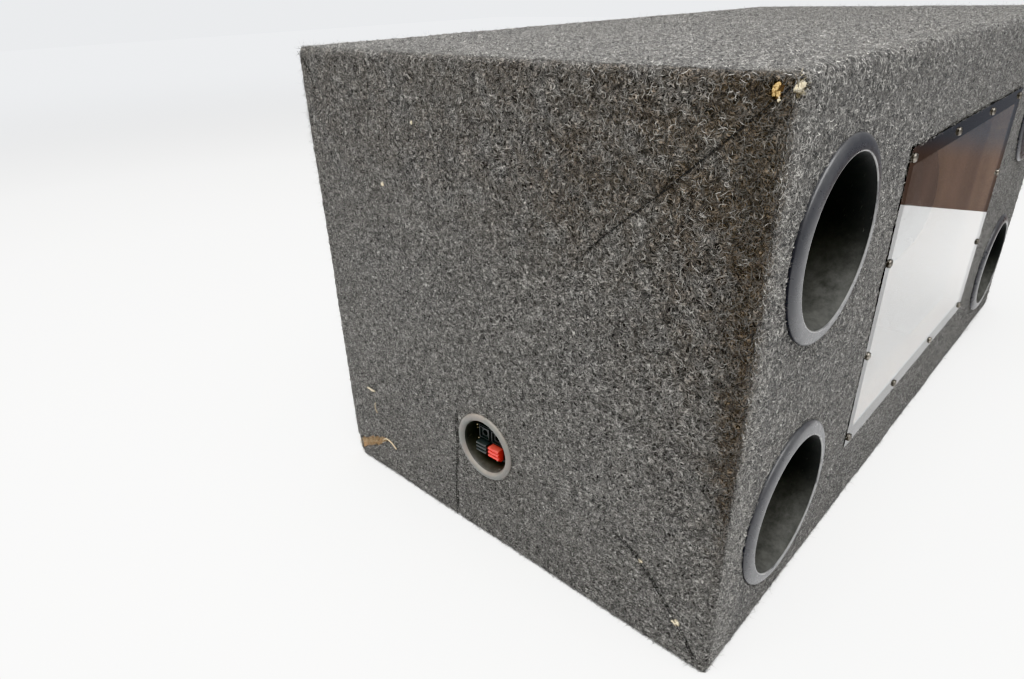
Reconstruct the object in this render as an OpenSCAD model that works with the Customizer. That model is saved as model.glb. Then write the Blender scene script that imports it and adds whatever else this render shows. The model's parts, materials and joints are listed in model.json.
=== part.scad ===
// Carpeted band-pass subwoofer cabinet for a car.
// Two drivers sit on inner partitions and fire into side chambers, and each side chamber breathes
// through two flared ports in the front. A clear window closes the sealed middle chamber.
// Units are millimetres. +Z is up, the front faces -Y, and the origin is on the floor, at the middle
// of the whole part's footprint.

/* [Cabinet] */
// Width over the carpeted ends
cabinet_w = 844; // [830:1:880]
// Depth from the front carpet to the back carpet
cabinet_d = 416; // [410:1:450]
// Height from the floor to the top carpet
cabinet_h = 406; // [400:1:430]
// Thickness of every fibreboard panel
board_t = 16; // [15:0.5:18]
// Thickness of the carpet
carpet_t = 4; // [3:0.5:5]
// Radius of the carpeted edges
edge_r = 5; // [3:0.5:8]
// Width of the middle chamber, from partition to partition
chamber_w = 400; // [390:1:410]

/* [Window] */
// Width of the clear panel
window_w = 385; // [360:1:388]
// Height of the clear panel
window_h = 261; // [240:1:270]
// Height of the clear panel's centre above the floor
window_z = 204; // [200:1:210]
// Thickness of the clear panel
window_t = 4; // [3:0.5:6]
// Width of the strip of panel and gasket that overlaps the board
window_lap = 15; // [12:0.5:18]
// Thickness of the foam gasket behind the panel
window_gasket_t = 0.8; // [0.5:0.1:2]
// Distance from the panel's edge to the middle of its screws
window_screw_inset = 8; // [7:0.5:9]

/* [Ports] */
// Inside diameter of the port tube
port_bore = 102; // [96:1:104]
// Outside diameter of the flared flange
port_flange = 132; // [128:1:136]
// Height of the flange's crest above the carpet
port_proud = 5; // [3:0.5:8]
// Length of the port tube behind the flare
port_tube_l = 118; // [90:1:130]
// Distance from a cabinet end to the middle of its ports
port_inset = 100; // [95:1:105]
// Height of the lower ports' centres above the floor
port_low_z = 96; // [90:1:100]
// Height of the upper ports' centres above the floor
port_high_z = 299; // [290:1:305]

/* [Terminals] */
// Outside diameter of the terminal cup's ring
cup_ring = 62; // [58:1:66]
// Diameter of the opening inside the ring
cup_mouth = 47; // [45:1:48]
// Height of the ring's crest above the carpet
cup_proud = 3; // [2:0.5:4]
// Depth of the cup below the carpet
cup_depth = 26; // [24:1:30]
// Distance from the front carpet to the middle of the cup
cup_from_front = 216; // [205:1:225]
// Height of the cup's centre above the floor
cup_z = 99; // [90:1:110]
// Diameter of a wire entry
wire_bore = 5; // [4:0.1:5.2]
// Travel of a push lever
lever_travel = 4; // [2:0.5:5]

/* [Drivers] */
// Outside diameter of the driver's basket
driver_od = 308; // [300:1:312]
// Diameter of the hole in the partition
driver_hole = 286; // [284:1:288]
// Height of the drivers' axis above the floor
driver_z = 203; // [198:1:208]
// Thickness of the ferrite ring magnet
magnet_t = 20; // [16:1:25]
// Outside diameter of the ferrite ring magnet
magnet_od = 156; // [140:1:170]

/* [Leads] */
// Diameter of an insulated internal lead
lead_d = 4; // [3:0.5:4.5]

/* [Hidden] */
$fn = 72;

left = -1;
right = 1;

// The carpeted block's planes
front_y = -(cabinet_d + port_proud) / 2 + port_proud;
back_y = front_y + cabinet_d;
half_w = cabinet_w / 2;

// The bare board box inside the carpet
wood_x = half_w - carpet_t;
wood_front = front_y + carpet_t;
wood_back = back_y - carpet_t;
wood_low = carpet_t;
wood_high = cabinet_h - carpet_t;

// The air space inside the boards
inner_x = wood_x - board_t;
inner_front = wood_front + board_t;
inner_back = wood_back - board_t;
inner_low = wood_low + board_t;
inner_high = wood_high - board_t;

// Window screws: four along each row and each column
screw_x_step = (window_w - 2 * window_screw_inset) / 3;
screw_z_step = (window_h - 2 * window_screw_inset) / 3;
window_corner_r = 3;
window_gap = 0.5;
window_back = -carpet_t + window_gasket_t;
window_face = window_back + window_t;

// Ports: local z = 0 is the carpet's face
port_x = half_w - port_inset;
port_wall = 3;
collar_wall = 2.3;
port_r = port_bore / 2;
collar_in = port_r + port_wall + 0.2;
collar_out = collar_in + collar_wall;
collar_depth = 34;
throat_depth = 12;
port_hole_r = collar_out + 0.5;
arc_steps = 9;

// Terminal cup: local z = 0 is the carpet's face
cup_y = front_y + cup_from_front;
cup_wall = 2;
cup_floor_t = 2;
cup_r = cup_mouth / 2;
cup_hole_r = cup_r + cup_wall + 0.5;
cup_floor = -cup_depth + cup_floor_t;
block_w = 30;
block_h = 28;
block_face = -8;
way_x = 7.2;
wire_y = 7;
lever_w = 12;
lever_h = 11.6;
lever_y = -6.6;
lever_face = -1.5;
lever_back = -12;
lever_clear = 0.35;
slot_floor = lever_back - lever_travel - 6;
tag_w = 6.3;
tag_t = 0.8;
tag_y = 10.4;
tag_end = -36;
block_screw_x = 18;
block_screw_y = 9;
ear_r = 3.2;
ear_t = 2;

// Driver: local z = 0 is the partition's face in the middle chamber, and +z is the way it fires
driver_y = (inner_front + inner_back) / 2 + 5;
driver_r = driver_od / 2;
hole_r = driver_hole / 2;
driver_gasket_t = 2;
flange_t = 2;
flange_z = -driver_gasket_t;
cone_r = 118;
neck_r = 26.4;
neck_z = -42;
cone_t = 1.2;
cone_bend_r = cone_r * 0.45;
cone_bend_z = -27;
cone_lip_r = cone_r * 0.9;
cone_edge_z = flange_z - 0.3;
roll_r = 10;
roll_t = 1.2;
roll_centre = cone_r + 8;
shelf_z = -56;
plate_top = -80;
plate_t = 8;
plate_r = 72;
magnet_top = plate_top - plate_t;
magnet_low = magnet_top - magnet_t;
gap_r = 28;
pole_r = 24.8;
coil_in = 25.5;
coil_out = 26.1;
winding_out = 27.3;
coil_top = -40;
coil_low = -96;
cap_r = 45;
cap_h = 16;
driver_screw_r = 148.5;
driver_screw_count = 8;
strip_x = 88.4;
strip_t = 2;
strip_tab_y = 8;

// Leads: middle points of the route as |x|, y, z. The ends are at the spade connectors.
lead_hole_y = 146;
lead_hole_z = 34;
lead_hole_r = 7;
lead_split = lead_d / 2 + 0.3;
lead_route = [
  [352, 34, 60], [330, 72, 26.4], [290, 112, 24.6], [246, 138, 26.6], [217, lead_hole_y, lead_hole_z],
  [199, lead_hole_y, lead_hole_z], [176, 142, 26.6], [145, 110, 24.6], [116, 60, 25], [96, 26, 39]
];

// ---------- helpers ----------

module slab(low, high) {
  translate(low) cube(high - low);
}

module ring(r_in, r_out, z_low, z_high) {
  rotate_extrude() translate([r_in, z_low]) square([r_out - r_in, z_high - z_low]);
}

module rounded_rect(low, high, r) {
  translate([low.x + r, low.y]) square([high.x - low.x - 2 * r, high.y - low.y]);
  translate([low.x, low.y + r]) square([high.x - low.x, high.y - low.y - 2 * r]);
  for (x = [low.x + r, high.x - r], y = [low.y + r, high.y - r]) translate([x, y]) circle(r);
}

// A pan-head screw whose head stands on z = 0 and whose shank goes down
module screw(head_r, head_h, shank_r, length) {
  rotate_extrude() polygon([
    [0, head_h], [head_r * 0.55, head_h], [head_r * 0.9, head_h * 0.7], [head_r, head_h * 0.3],
    [head_r, 0], [shank_r, 0], [shank_r, -length + shank_r], [0, -length]
  ]);
}

// Quarter of an ellipse from [r0, z1] round to [r1, z0]
function quarter(r0, z1, r1, z0) = [
  for (i = [0:arc_steps]) let (a = 90 * i / arc_steps)
    [r0 + (r1 - r0) * sin(a), z0 + (z1 - z0) * cos(a)]
];

// Catmull-Rom curve through a list of points
function blend_point(p0, p1, p2, p3, t) = 0.5 * (2 * p1 + (p2 - p0) * t
  + (2 * p0 - 5 * p1 + 4 * p2 - p3) * t * t + (3 * p1 - p0 - 3 * p2 + p3) * t * t * t);
function smooth_path(p, steps) = let (n = len(p)) [
  for (i = [0:n - 2], j = [0:steps - 1])
    blend_point(p[max(i - 1, 0)], p[i], p[i + 1], p[min(i + 2, n - 1)], j / steps),
  p[n - 1]
];

// Sweeps a round section along a path as one closed polyhedron
function unit(v) = v / norm(v);
function tangent(p, i) = unit(p[min(i + 1, len(p) - 1)] - p[max(i - 1, 0)]);
function side_of(t) = unit(cross(t, abs(t.z) > 0.9 ? [1, 0, 0] : [0, 0, 1]));
function carried(p, i, s) = let (t = tangent(p, i)) unit(s - t * (s * t));
function sides(p) = [
  for (i = 0, s = side_of(tangent(p, 0)); i < len(p); i = i + 1, s = i < len(p) ? carried(p, i, s) : s) s
];
module swept(p, r, n) {
  s = sides(p);
  points = [
    for (i = [0:len(p) - 1], k = [0:n - 1])
      let (a = 360 * k / n, u = s[i], v = cross(tangent(p, i), u)) p[i] + r * (cos(a) * u + sin(a) * v)
  ];
  walls = [
    for (i = [0:len(p) - 2], k = [0:n - 1])
      let (a = i * n + k, b = i * n + (k + 1) % n) [a, a + n, b + n, b]
  ];
  start = [for (k = [0:n - 1]) k];
  finish = [for (k = [0:n - 1]) len(p) * n - 1 - k];
  polyhedron(points, concat(walls, [start, finish]));
}

// Local frames
module front_frame(x, z) {
  translate([x, front_y, z]) rotate([90, 0, 0]) children();
}

module end_frame(side) {
  translate([side * half_w, cup_y, cup_z]) rotate([90, 0, side * 90]) children();
}

// Local x points down
module driver_frame(side) {
  translate([side * chamber_w / 2, driver_y, driver_z])
    rotate([0, side * 90, 0])
      rotate([0, 0, side == left ? 180 : 0])
        children();
}

// ---------- cabinet boards ----------

module end_panel(side) {
  difference() {
    slab(
      [min(side * wood_x, side * inner_x), wood_front, inner_low],
      [max(side * wood_x, side * inner_x), wood_back, inner_high]
    );
    end_frame(side) translate([0, 0, -60]) cylinder(r = cup_hole_r, h = 70);
  }
}

module partition(side) {
  face = side * chamber_w / 2;
  far = side * (chamber_w / 2 + board_t);
  difference() {
    slab([min(face, far), inner_front, inner_low], [max(face, far), inner_back, inner_high]);
    driver_frame(side) {
      translate([0, 0, -1]) cylinder(r = hole_r, h = board_t + 2);
      driver_screw_places() translate([0, 0, -1]) cylinder(r = 2.25, h = 14);
    }
    translate([min(face, far) - 1, lead_hole_y, lead_hole_z])
      rotate([0, 90, 0]) cylinder(r = lead_hole_r, h = board_t + 2);
  }
}

module window_screw_places() {
  for (i = [-1.5:1:1.5], k = [-1.5:1:1.5])
    if (abs(i) > 1 || abs(k) > 1)
      front_frame(i * screw_x_step, window_z + k * screw_z_step) children();
}

module port_places() {
  for (side = [left, right], z = [port_low_z, port_high_z]) front_frame(side * port_x, z) children();
}

module panel_bottom() {
  color("burlywood") slab([-wood_x, wood_front, wood_low], [wood_x, wood_back, inner_low]);
}

module panel_top() {
  color("burlywood") slab([-wood_x, wood_front, inner_high], [wood_x, wood_back, wood_high]);
}

module panel_left_end() {
  color("burlywood") end_panel(left);
}

module panel_right_end() {
  color("burlywood") end_panel(right);
}

module panel_back() {
  color("burlywood") slab([-inner_x, inner_back, inner_low], [inner_x, wood_back, inner_high]);
}

module front_baffle() {
  color("burlywood") difference() {
    slab([-inner_x, wood_front, inner_low], [inner_x, inner_front, inner_high]);
    port_places() translate([0, 0, -carpet_t - board_t - 1]) cylinder(r = port_hole_r, h = board_t + 2);
    front_frame(0, window_z)
      translate([-window_w / 2 + window_lap, -window_h / 2 + window_lap, -carpet_t - board_t - 1])
        cube([window_w - 2 * window_lap, window_h - 2 * window_lap, board_t + 2]);
    window_screw_places() translate([0, 0, -carpet_t - 15]) cylinder(r = 2.05, h = 16);
  }
}

module partition_left() {
  color("burlywood") partition(left);
}

module partition_right() {
  color("burlywood") partition(right);
}

// ---------- carpet ----------

// The carpeted block with its edges rounded all round
module carpet_block() {
  intersection() {
    linear_extrude(cabinet_h) rounded_rect([-half_w, front_y], [half_w, back_y], edge_r);
    translate([-half_w, 0, 0])
      rotate([90, 0, 90])
        linear_extrude(cabinet_w)
          rounded_rect([front_y, 0], [back_y, cabinet_h], edge_r);
    translate([0, back_y, 0])
      rotate([90, 0, 0])
        linear_extrude(cabinet_d)
          rounded_rect([-half_w, 0], [half_w, cabinet_h], edge_r);
  }
}

module end_carpet(side) {
  difference() {
    intersection() {
      carpet_block();
      slab(
        [min(side * half_w, side * wood_x), front_y, carpet_t],
        [max(side * half_w, side * wood_x), back_y, cabinet_h]
      );
    }
    end_frame(side) translate([0, 0, -10]) cylinder(r = cup_hole_r, h = 20);
  }
}

module carpet_bottom() {
  color("dimgray") intersection() {
    carpet_block();
    slab([-half_w, front_y, 0], [half_w, back_y, carpet_t]);
  }
}

// One length of carpet up the back, over the top and down the front
module carpet_wrap() {
  color("dimgray") difference() {
    intersection() {
      carpet_block();
      slab([-wood_x, front_y, carpet_t], [wood_x, back_y, cabinet_h]);
    }
    slab([-wood_x - 1, wood_front, -1], [wood_x + 1, wood_back, wood_high]);
    port_places() translate([0, 0, -10]) cylinder(r = port_hole_r, h = 20);
    front_frame(0, window_z)
      translate([-window_w / 2 - window_gap, -window_h / 2 - window_gap, -10])
        cube([window_w + 2 * window_gap, window_h + 2 * window_gap, 20]);
  }
}

module carpet_left_end() {
  color("dimgray") end_carpet(left);
}

module carpet_right_end() {
  color("dimgray") end_carpet(right);
}

// ---------- window ----------

module window_plate(z_low, thickness) {
  front_frame(0, window_z)
    translate([0, 0, z_low])
      linear_extrude(thickness)
        rounded_rect([-window_w / 2, -window_h / 2], [window_w / 2, window_h / 2], window_corner_r);
}

module window_panel() {
  color("lightblue", 0.4) difference() {
    window_plate(window_back, window_t);
    window_screw_places() translate([0, 0, -10]) cylinder(r = 2.3, h = 20);
  }
}

module window_gasket() {
  color("black") difference() {
    window_plate(-carpet_t, window_gasket_t);
    front_frame(0, window_z)
      translate([-window_w / 2 + window_lap, -window_h / 2 + window_lap, -10])
        cube([window_w - 2 * window_lap, window_h - 2 * window_lap, 20]);
    window_screw_places() translate([0, 0, -10]) cylinder(r = 2.3, h = 20);
  }
}

module window_screws() {
  color("silver") window_screw_places() translate([0, 0, window_face]) screw(3.6, 2.2, 2, 18);
}

// ---------- ports ----------

module port_flare(side, z) {
  crest_r = port_r + (port_flange / 2 - port_r) * 0.38;
  color("dimgray") front_frame(side * port_x, z) rotate_extrude() polygon(concat(
    quarter(crest_r, port_proud, port_flange / 2, 0.8),
    [[port_flange / 2, 0], [collar_out, 0], [collar_out, -collar_depth]],
    [[collar_in, -collar_depth], [collar_in, -throat_depth], [port_r, -throat_depth]],
    [for (i = [arc_steps - 1:-1:1]) quarter(crest_r, port_proud, port_r, -throat_depth)[i]]
  ));
}

module port_tube(side, z) {
  top = -throat_depth - 0.1;
  color("black") front_frame(side * port_x, z) ring(port_r, port_r + port_wall, top - port_tube_l, top);
}

module port_flare_top_left() {
  port_flare(left, port_high_z);
}

module port_flare_bottom_left() {
  port_flare(left, port_low_z);
}

module port_flare_top_right() {
  port_flare(right, port_high_z);
}

module port_flare_bottom_right() {
  port_flare(right, port_low_z);
}

module port_tube_top_left() {
  port_tube(left, port_high_z);
}

module port_tube_bottom_left() {
  port_tube(left, port_low_z);
}

module port_tube_top_right() {
  port_tube(right, port_high_z);
}

module port_tube_bottom_right() {
  port_tube(right, port_low_z);
}

// ---------- terminals ----------

module both_ways() {
  for (k = [-1, 1]) translate([k * way_x, 0, 0]) children();
}

module block_screw_places() {
  for (k = [-1, 1]) translate([-k * block_screw_x, k * block_screw_y, 0]) children();
}

module terminal_cup(side) {
  crest_r = cup_r + (cup_ring / 2 - cup_r) * 0.5;
  color("darkgray") end_frame(side) difference() {
    rotate_extrude() polygon(concat(
      quarter(crest_r, cup_proud, cup_ring / 2, 0.6),
      [[cup_ring / 2, 0], [cup_r + cup_wall, 0], [cup_r + cup_wall, -cup_depth]],
      [[0, -cup_depth], [0, cup_floor], [cup_r, cup_floor]],
      [for (i = [arc_steps:-1:1]) quarter(crest_r, cup_proud, cup_r, -3)[i]]
    ));
    both_ways() slab(
      [-tag_w / 2 - 0.3, tag_y - 0.8, -cup_depth - 1],
      [tag_w / 2 + 0.3, tag_y + 0.8, cup_floor + 1]
    );
    block_screw_places() translate([0, 0, -cup_depth - 1]) cylinder(r = 1.3, h = 5);
  }
}

// A block with two levers, two wire entries and an ear at each side for its screw
module terminal_block(side) {
  color("black") end_frame(side) difference() {
    union() {
      slab([-block_w / 2, -block_h / 2, cup_floor], [block_w / 2, block_h / 2, block_face]);
      for (k = [-1, 1]) rotate([0, 0, k < 0 ? 180 : 0]) {
        translate([-block_screw_x, block_screw_y, cup_floor]) cylinder(r = ear_r, h = ear_t);
        slab(
          [-block_screw_x, block_screw_y - ear_r, cup_floor],
          [-block_w / 2 + 1, block_screw_y + ear_r, cup_floor + ear_t]
        );
      }
    }
    block_screw_places() translate([0, 0, cup_floor - 1]) cylinder(r = 1.3, h = ear_t + 2);
    both_ways() {
      slab(
        [-lever_w / 2 - lever_clear, lever_y - lever_h / 2 - lever_clear, slot_floor],
        [lever_w / 2 + lever_clear, lever_y + lever_h / 2 + lever_clear, block_face + 1]
      );
      translate([0, wire_y, cup_floor - 1]) cylinder(r = wire_bore / 2, h = block_face - cup_floor + 2);
      slab([-tag_w / 2 - 0.2, tag_y - 0.65, cup_floor - 1], [tag_w / 2 + 0.2, tag_y + 0.65, block_face - 2]);
    }
  }
}

module terminal_block_screws() {
  color("silver") for (side = [left, right])
    end_frame(side) block_screw_places() translate([0, 0, cup_floor + ear_t]) screw(2.4, 1.6, 1.2, 8);
}

module contact_plates() {
  color("gold") for (side = [left, right])
    end_frame(side) both_ways() slab([-tag_w / 2, tag_y - tag_t / 2, tag_end], [tag_w / 2, tag_y + tag_t / 2, -10.4]);
}

// A push tab with a hollowed finger face and a short guide stem behind it
module lever(side, way) {
  end_frame(side) translate([way * way_x, lever_y, 0]) {
    difference() {
      slab([-lever_w / 2, -lever_h / 2, lever_back], [lever_w / 2, lever_h / 2, lever_face]);
      translate([0, 0, lever_face + 28.8]) rotate([0, 90, 0]) cylinder(r = 30, h = 8, center = true);
    }
    translate([0, 0, lever_back - 2]) cylinder(r = 2, h = 2);
  }
}

function helix(r, z_low, z_high, turns, per_turn) = [
  for (i = [0:turns * per_turn])
    [r * cos(360 * i / per_turn), r * sin(360 * i / per_turn), z_low + (z_high - z_low) * i / (turns * per_turn)]
];

module lever_spring(side, way) {
  color("silver") end_frame(side) translate([way * way_x, lever_y, 0])
    swept(helix(2.9, slot_floor + 0.5, lever_back - 0.5, 4, 12), 0.35, 6);
}

module terminal_cup_left() {
  terminal_cup(left);
}

module terminal_cup_right() {
  terminal_cup(right);
}

module terminal_block_left() {
  terminal_block(left);
}

module terminal_block_right() {
  terminal_block(right);
}

module lever_red_left() {
  color("red") lever(left, 1);
}

module lever_black_left() {
  color("black") lever(left, -1);
}

module lever_red_right() {
  color("red") lever(right, 1);
}

module lever_black_right() {
  color("black") lever(right, -1);
}

module lever_spring_red_left() {
  lever_spring(left, 1);
}

module lever_spring_black_left() {
  lever_spring(left, -1);
}

module lever_spring_red_right() {
  lever_spring(right, 1);
}

module lever_spring_black_right() {
  lever_spring(right, -1);
}

// ---------- leads ----------

// From a cup's spade connector, down to the floor board, through the partition and up to the driver
module lead(side, way) {
  turn = side * way;
  connector_back = -tag_end + 1.6;
  start = [half_w - connector_back, cup_y + turn * way_x, cup_z + tag_y];
  end = [
    chamber_w / 2 + plate_top - 9.7, driver_y + turn * strip_tab_y, driver_z - strip_x - strip_t - tag_t / 2
  ];
  middle = [
    for (i = [0:len(lead_route) - 1])
      lead_route[i] + turn * lead_split * side_of(tangent(lead_route, i))
  ];
  route = concat(
    [start, start + [-7, 0, 0], start + [-13, 0, -4]], middle,
    [end + [-24, 0, -22], end + [-14, 0, -4], end + [-7, 0, 0], end]
  );
  swept([for (p = smooth_path(route, 4)) [side * p.x, p.y, p.z]], lead_d / 2, 8);
}

module leads_red() {
  color("red") for (side = [left, right]) lead(side, 1);
}

module leads_black() {
  color("black") for (side = [left, right]) lead(side, -1);
}

// A crimped sleeve over a tag that lies along z and ends at z = 0
module spade_connector() {
  difference() {
    slab([-tag_w / 2 - 0.7, -1.3, -1.4], [tag_w / 2 + 0.7, 1.3, 7]);
    slab([-tag_w / 2 - 0.1, -tag_t / 2 - 0.1, -0.2], [tag_w / 2 + 0.1, tag_t / 2 + 0.1, 8]);
  }
}

module lead_connectors() {
  color("gold") for (side = [left, right], way = [-1, 1]) {
    end_frame(side) translate([way * way_x, tag_y, tag_end]) spade_connector();
    driver_frame(side)
      translate([strip_x + strip_t + tag_t / 2, way * strip_tab_y, plate_top - 8])
        rotate([0, 0, 90]) spade_connector();
  }
}

// ---------- drivers ----------

module driver_screw_places() {
  for (k = [0:driver_screw_count - 1])
    rotate([0, 0, 360 * (k + 0.5) / driver_screw_count]) translate([driver_screw_r, 0, 0]) children();
}

// Half of the basket's section, from the flange in to the plate that carries the magnet
basket_outline = [
  [135, flange_z], [driver_r, flange_z], [driver_r, flange_z - flange_t], [138, flange_z - flange_t],
  [104, shelf_z - 2], [88, shelf_z - 2], [82, plate_top], [44, plate_top],
  [44, plate_top + 2], [80, plate_top + 2], [86, shelf_z], [102, shelf_z], [133, flange_z - 6]
];

module basket(side) {
  window_top = -12;
  window_low = -50;
  color("dimgray") driver_frame(side) difference() {
    rotate_extrude() polygon(basket_outline);
    for (k = [0:7]) rotate([0, 0, 45 * k]) slab([90, -30, window_low], [150, 30, window_top]);
    for (k = [0:7]) rotate([0, 0, 45 * k + 22.5]) slab([76, -8, plate_top + 6], [95, 8, shelf_z - 6]);
    driver_screw_places() translate([0, 0, flange_z - 5]) cylinder(r = 2.4, h = 10);
  }
}

// A half-round roll with a flat lip on each side, all one thickness
module surround(side) {
  low_z = flange_z;
  base_z = low_z + roll_t;
  outer = [
    for (i = [0:12]) let (a = 15 * i) [roll_centre - roll_r * cos(a), base_z + roll_r * sin(a)]
  ];
  inner = [
    for (i = [12:-1:0]) let (a = 15 * i, r = roll_r - roll_t)
      [roll_centre - r * cos(a), base_z + r * sin(a)]
  ];
  color("black") driver_frame(side) rotate_extrude() polygon(concat(
    [[roll_centre - roll_r - 5, low_z], [roll_centre - roll_r - 5, base_z]],
    outer,
    [[roll_centre + roll_r + 6, base_z], [roll_centre + roll_r + 6, low_z]],
    [[roll_centre + roll_r - roll_t, low_z]],
    inner,
    [[roll_centre - roll_r + roll_t, low_z]]
  ));
}

// A paper funnel with one bend and a flat lip under the surround
module cone(side) {
  back = [
    [neck_r, neck_z], [cone_bend_r, cone_bend_z], [cone_lip_r, cone_edge_z - cone_t],
    [cone_r, cone_edge_z - cone_t]
  ];
  front = [for (i = [len(back) - 1:-1:0]) back[i] + [0, cone_t]];
  color("dimgray") driver_frame(side) rotate_extrude() polygon(concat(back, front));
}

module dust_cap(side) {
  share = (cap_r - neck_r) / (cone_bend_r - neck_r);
  cap_z = neck_z + (cone_bend_z - neck_z) * share + cone_t + 0.15;
  sphere_r = (cap_r * cap_r + cap_h * cap_h) / (2 * cap_h);
  color("black") driver_frame(side) rotate_extrude() intersection() {
    translate([0, cap_z + cap_h - sphere_r]) difference() {
      circle(sphere_r);
      circle(sphere_r - 1);
    }
    translate([0, cap_z]) square([cap_r + 5, cap_h + 5]);
  }
}

module voice_coil(side) {
  color("goldenrod") driver_frame(side) {
    ring(coil_in, coil_out, coil_low, coil_top);
    ring(coil_out, winding_out, coil_low + 2, coil_low + 22);
  }
}

// Corrugated disc from the coil former out to the basket's shelf
module spider(side) {
  waves = 5;
  wave_h = 1.6;
  cloth_t = 0.7;
  mid_z = shelf_z + 2.4;
  inner_r = coil_out + 0.3;
  outer_r = 86;
  lip_r = 98;
  lip_z = shelf_z + 0.02;
  top = [
    for (i = [0:waves * 8]) let (t = i / (waves * 8))
      [inner_r + (outer_r - inner_r) * t, mid_z + wave_h * sin(360 * waves * t)]
  ];
  low = [for (i = [waves * 8 - 1:-1:0]) top[i] - [0, cloth_t]];
  lip = [[lip_r, lip_z + cloth_t], [lip_r, lip_z], [outer_r - cloth_t, lip_z]];
  color("tan") driver_frame(side) rotate_extrude()
    polygon(concat(top, [[outer_r, lip_z + cloth_t]], lip, [[outer_r - cloth_t, mid_z - cloth_t]], low));
}

module magnet(side) {
  color("darkslategray") driver_frame(side) ring(32, magnet_od / 2, magnet_low, magnet_top);
}

module top_plates() {
  color("silver") for (side = [left, right])
    driver_frame(side) ring(gap_r, plate_r, magnet_top, plate_top);
}

module yokes() {
  color("silver") for (side = [left, right]) driver_frame(side) rotate_extrude() polygon([
    [8, plate_top], [pole_r, plate_top], [pole_r, magnet_low], [plate_r, magnet_low],
    [plate_r, magnet_low - 5], [plate_r - 6, magnet_low - 8], [8, magnet_low - 8]
  ]);
}

module driver_gaskets() {
  color("black") for (side = [left, right]) driver_frame(side) difference() {
    ring(hole_r + 0.5, driver_r - 0.5, flange_z, 0);
    driver_screw_places() translate([0, 0, -5]) cylinder(r = 2.4, h = 10);
  }
}

module driver_screws() {
  color("dimgray") for (side = [left, right])
    driver_frame(side)
      driver_screw_places()
        translate([0, 0, flange_z - flange_t]) rotate([180, 0, 0]) screw(4, 2.4, 2.2, 15.5);
}

// Insulating strip with two tabs, on a foot that fits the basket's wall
module driver_terminals() {
  for (side = [left, right]) driver_frame(side) {
    color("saddlebrown") slab([strip_x, -13, -75], [strip_x + strip_t, 13, -60]);
    color("saddlebrown") difference() {
      slab([80, -4, -72], [strip_x, 4, -64]);
      rotate_extrude() polygon([[0, shelf_z - 2], [88.05, shelf_z - 2], [82.05, plate_top], [0, plate_top]]);
    }
    color("gold") for (way = [-1, 1]) slab(
      [strip_x + strip_t, way * strip_tab_y - tag_w / 2, plate_top - 8],
      [strip_x + strip_t + tag_t, way * strip_tab_y + tag_w / 2, -64]
    );
  }
}

module tinsel_leads() {
  color("sandybrown") for (side = [left, right], way = [-1, 1]) driver_frame(side) swept(
    smooth_path([
      [strip_x + 1, way * 8, -58.95], [106, way * 8, -62], [119, way * 8, -52], [112, way * 7.5, -36],
      [90, way * 7, -33], [72, way * 6.5, -35], [60, way * 6, -25]
    ], 3),
    0.8, 6
  );
}

module basket_left() {
  basket(left);
}

module basket_right() {
  basket(right);
}

module surround_left() {
  surround(left);
}

module surround_right() {
  surround(right);
}

module cone_left() {
  cone(left);
}

module cone_right() {
  cone(right);
}

module dust_cap_left() {
  dust_cap(left);
}

module dust_cap_right() {
  dust_cap(right);
}

module voice_coil_left() {
  voice_coil(left);
}

module voice_coil_right() {
  voice_coil(right);
}

module spider_left() {
  spider(left);
}

module spider_right() {
  spider(right);
}

module magnet_left() {
  magnet(left);
}

module magnet_right() {
  magnet(right);
}

panel_bottom();
panel_top();
panel_left_end();
panel_right_end();
panel_back();
front_baffle();
partition_left();
partition_right();
carpet_bottom();
carpet_wrap();
carpet_left_end();
carpet_right_end();
window_panel();
window_gasket();
window_screws();
port_flare_top_left();
port_flare_bottom_left();
port_flare_top_right();
port_flare_bottom_right();
port_tube_top_left();
port_tube_bottom_left();
port_tube_top_right();
port_tube_bottom_right();
terminal_cup_left();
terminal_cup_right();
terminal_block_left();
terminal_block_right();
terminal_block_screws();
contact_plates();
lever_red_left();
lever_black_left();
lever_red_right();
lever_black_right();
lever_spring_red_left();
lever_spring_black_left();
lever_spring_red_right();
lever_spring_black_right();
leads_red();
leads_black();
lead_connectors();
basket_left();
basket_right();
surround_left();
surround_right();
cone_left();
cone_right();
dust_cap_left();
dust_cap_right();
voice_coil_left();
voice_coil_right();
spider_left();
spider_right();
magnet_left();
magnet_right();
top_plates();
yokes();
driver_gaskets();
driver_screws();
driver_terminals();
tinsel_leads();
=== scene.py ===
"""Looks for the carpeted band-pass subwoofer cabinet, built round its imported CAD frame."""
import itertools
import json
import math
from functools import partial, reduce

import bmesh
import bpy
import numpy as np
from mathutils import Matrix, Vector


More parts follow.
